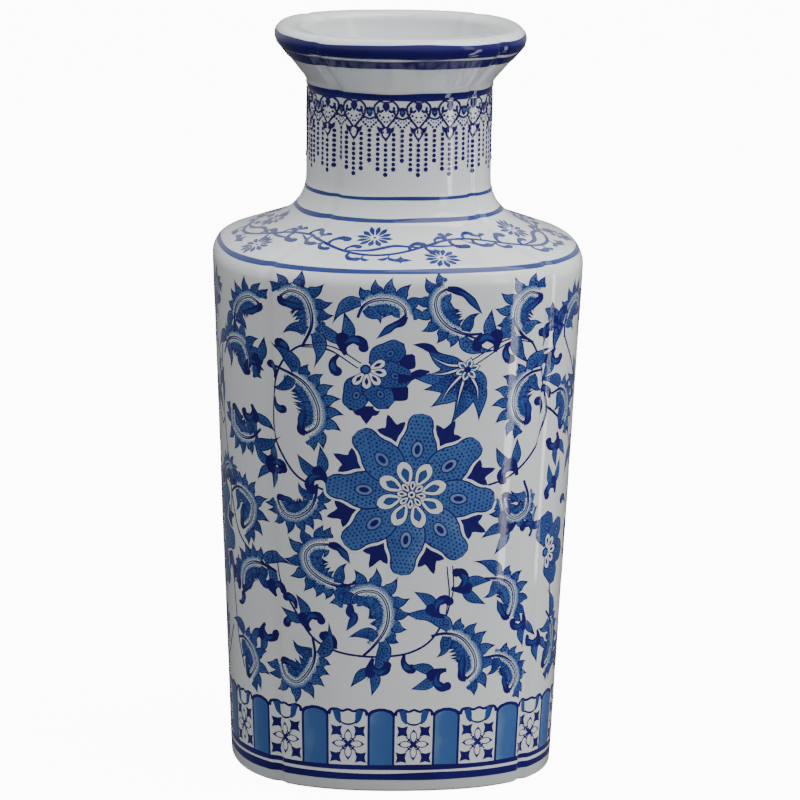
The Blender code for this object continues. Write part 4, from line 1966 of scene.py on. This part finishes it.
@dataclass
class Studio:
    """A pale floor, soft light from above and one tall window to the right."""

    distance: float = 2.70
    eye_height: float = 0.712
    heading: float = math.radians(5.0)
    tilt: float = math.radians(11.26)
    roll: float = math.radians(0.83)
    lens: float = 256.9
    slide: float = 0.0061
    floor_glow: float = 11.0

    def floor(self) -> None:
        """Lay the floor."""
        bpy.ops.object.select_all(action="DESELECT")
        bpy.ops.mesh.primitive_circle_add(vertices=96, radius=9.0, fill_type="NGON", location=(0, 0, 0))
        floor = bpy.context.object
        floor.name = "floor"
        bpy.ops.object.transform_apply(location=True, rotation=True, scale=True)
        material = bpy.data.materials.new("pale_floor")
        material.use_nodes = True
        shader = material.node_tree.nodes["Principled BSDF"]
        shader.inputs["Base Color"].default_value = (0.93, 0.93, 0.93, 1.0)
        shader.inputs["Roughness"].default_value = 0.9
        shader.inputs["Specular IOR Level"].default_value = 0.1
        shader.inputs["Emission Color"].default_value = (1.0, 1.0, 1.0, 1.0)
        shader.inputs["Emission Strength"].default_value = self.floor_glow
        floor.data.materials.append(material)
        floor.visible_diffuse = floor.visible_glossy = False

    def sky(self) -> None:
        """Light the room softly, brightest overhead."""
        world = bpy.data.worlds.new("studio")
        bpy.context.scene.world = world
        world.use_nodes = True
        nodes, links = world.node_tree.nodes, world.node_tree.links
        back = nodes["Background"]
        place = nodes.new("ShaderNodeTexCoord")
        split = nodes.new("ShaderNodeSeparateXYZ")
        height = nodes.new("ShaderNodeMapRange")
        height.inputs["From Min"].default_value = -1.0
        ramp = nodes.new("ShaderNodeValToRGB")
        ramp.color_ramp.elements[0].color = (0.05, 0.05, 0.05, 1)
        ramp.color_ramp.elements[1].color = (1.45, 1.47, 1.50, 1)
        for place_up, level in ((0.38, 0.11), (0.50, 0.43), (0.75, 0.98)):
            ramp.color_ramp.elements.new(place_up).color = (level * 0.98, level, level * 1.02, 1)
        links.new(place.outputs["Generated"], split.inputs["Vector"])
        links.new(split.outputs["Z"], height.inputs["Value"])
        links.new(height.outputs["Result"], ramp.inputs["Fac"])
        links.new(ramp.outputs["Color"], back.inputs["Color"])
        seen = nodes.new("ShaderNodeBackground")
        seen.inputs["Color"].default_value = (1.0, 1.0, 1.0, 1.0)
        seen.inputs["Strength"].default_value = self.floor_glow + 1.0
        path = nodes.new("ShaderNodeLightPath")
        mix = nodes.new("ShaderNodeMixShader")
        links.new(path.outputs["Is Camera Ray"], mix.inputs["Fac"])
        links.new(back.outputs["Background"], mix.inputs[1])
        links.new(seen.outputs["Background"], mix.inputs[2])
        links.new(mix.outputs["Shader"], nodes["World Output"].inputs["Surface"])

    def lamp(
        self, name: str, place: Vector, aim: Vector, size: tuple[float, float], power: float,
        seen: bool = False
    ) -> None:
        """Hang one soft rectangular light.

        Args:
            name: Name of the light.
            place: Where it hangs.
            aim: What it faces.
            size: Width and height.
            power: Power in watts.
            seen: Whether the camera can see it.
        """
        data = bpy.data.lights.new(name, "AREA")
        data.shape = "RECTANGLE"
        data.size, data.size_y = size
        data.energy = power
        lamp = bpy.data.objects.new(name, data)
        lamp.location = place
        lamp.rotation_euler = (aim - place).to_track_quat("-Z", "Y").to_euler()
        lamp.visible_camera = seen
        bpy.context.scene.collection.objects.link(lamp)

    def lights(self) -> None:
        """Hang the lights."""
        self.lamp("softbox_above", Vector((0.9, -0.3, 2.4)), Vector((0, 0, 0.2)), (1.6, 1.6), 38.0)
        self.lamp("window", Vector((1.25, -1.30, 0.95)), Vector((0, 0, 0.25)), (0.35, 0.9), 3.0)
        self.lamp("window_low", Vector((0.330, -0.262, 0.17)), Vector((0, 0, 0.17)), (0.045, 0.36), 0.42)

    def camera(self) -> None:
        """Stand the camera in front and a little above."""
        data = bpy.data.cameras.new("camera")
        data.lens, data.sensor_width = self.lens, 36.0
        data.shift_x = self.slide
        data.clip_start, data.clip_end = 0.1, 60.0
        camera = bpy.data.objects.new("camera", data)
        back = Vector((-math.sin(self.heading), -math.cos(self.heading), 0)) * self.distance
        where = Matrix.Translation(back + Vector((0, 0, self.eye_height)))
        level = Matrix.Rotation(-self.heading, 4, "Z") @ Matrix.Rotation(QUARTER - self.tilt, 4, "X")
        camera.matrix_world = where @ level @ Matrix.Rotation(self.roll, 4, "Z")
        bpy.context.scene.collection.objects.link(camera)
        bpy.context.scene.camera = camera

    def build(self) -> None:
        """Set up the whole studio."""
        self.floor()
        self.sky()
        self.lights()
        self.camera()


# ---------------------------------------------------------------------------------------------
# Assembly
# ---------------------------------------------------------------------------------------------


def seat(piece: bpy.types.Object, slot: str, *nodes: str) -> None:
    """Fix a piece to the frame and hide the sections that it replaces.

    Args:
        piece: The finished piece.
        slot: The material slot it takes its finish from; not used.
        nodes: Sections that it replaces.
    """
    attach(piece, "root")
    if nodes:
        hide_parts(*nodes)
    LOG.info("%s: %d faces", piece.name, len(piece.data.polygons))


def zones(form: Form) -> list[PaintedZone]:
    """Return the painted zones from the foot to the lip.

    Args:
        form: The form that they are wrapped on.

    Returns:
        The zones, in the order they are painted.
    """
    return [
        FlowerPanels(form, "panel", 83.0),
        SidePanels(form, "panel", 83.0),
        FootBorder(form, "foot_border", 79.5),
        Bands(form, "foot_bands", 79.5, bands=((5.9, 9.3), (10.8, 13.2))),
        Bands(
            form, "shoulder_edge_line", 85.0, bands=((251.4, 253.3),), tone=Tone.WASH, pool=0.88, wander=0.25
        ),
        ShoulderVine(form, "shoulder_vine", 75.0),
        Bands(
            form, "neck_foot_lines", 47.5, bands=((269.3, 271.1), (279.0, 280.6)), tone=Tone.WASH, pool=0.92,
            wander=0.2
        ),
        NeckLace(form, "neck_lace", 44.3),
        Bands(form, "neck_top_band", 44.3, bands=((326.2, 329.6),), wander=0.08),
        Bands(form, "lip_bands", 58.0, bands=((342.9, 346.7), (348.0, 354.4)), wander=0.10),
    ]


def main() -> None:
    """Build the vase, its painting and the studio round them."""
    logging.basicConfig(level=logging.INFO, format="%(message)s")
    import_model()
    form = Form.from_frame()
    body = GlazedBody(form)
    piece = body.build()
    body.dress(piece)
    seat(piece, "glazed_porcelain", "base_floor", "body_wall", "shoulder", "neck", "mouth_lip")
    foot = FootRing(form)
    ring = foot.build()
    foot.dress(ring)
    seat(ring, "bare_foot", "foot_ring")
    finishes = {Tone.WASH: WASH.make(), Tone.LINE: LINE.make(), Tone.SLIP: piece.data.materials[0]}
    finishes[Tone.DOTS] = finishes[Tone.LINE]
    for zone in zones(form):
        for painted in zone.build(finishes):
            seat(painted, "glazed_porcelain")
    Studio().build()


if __name__ == "__main__":
    main()
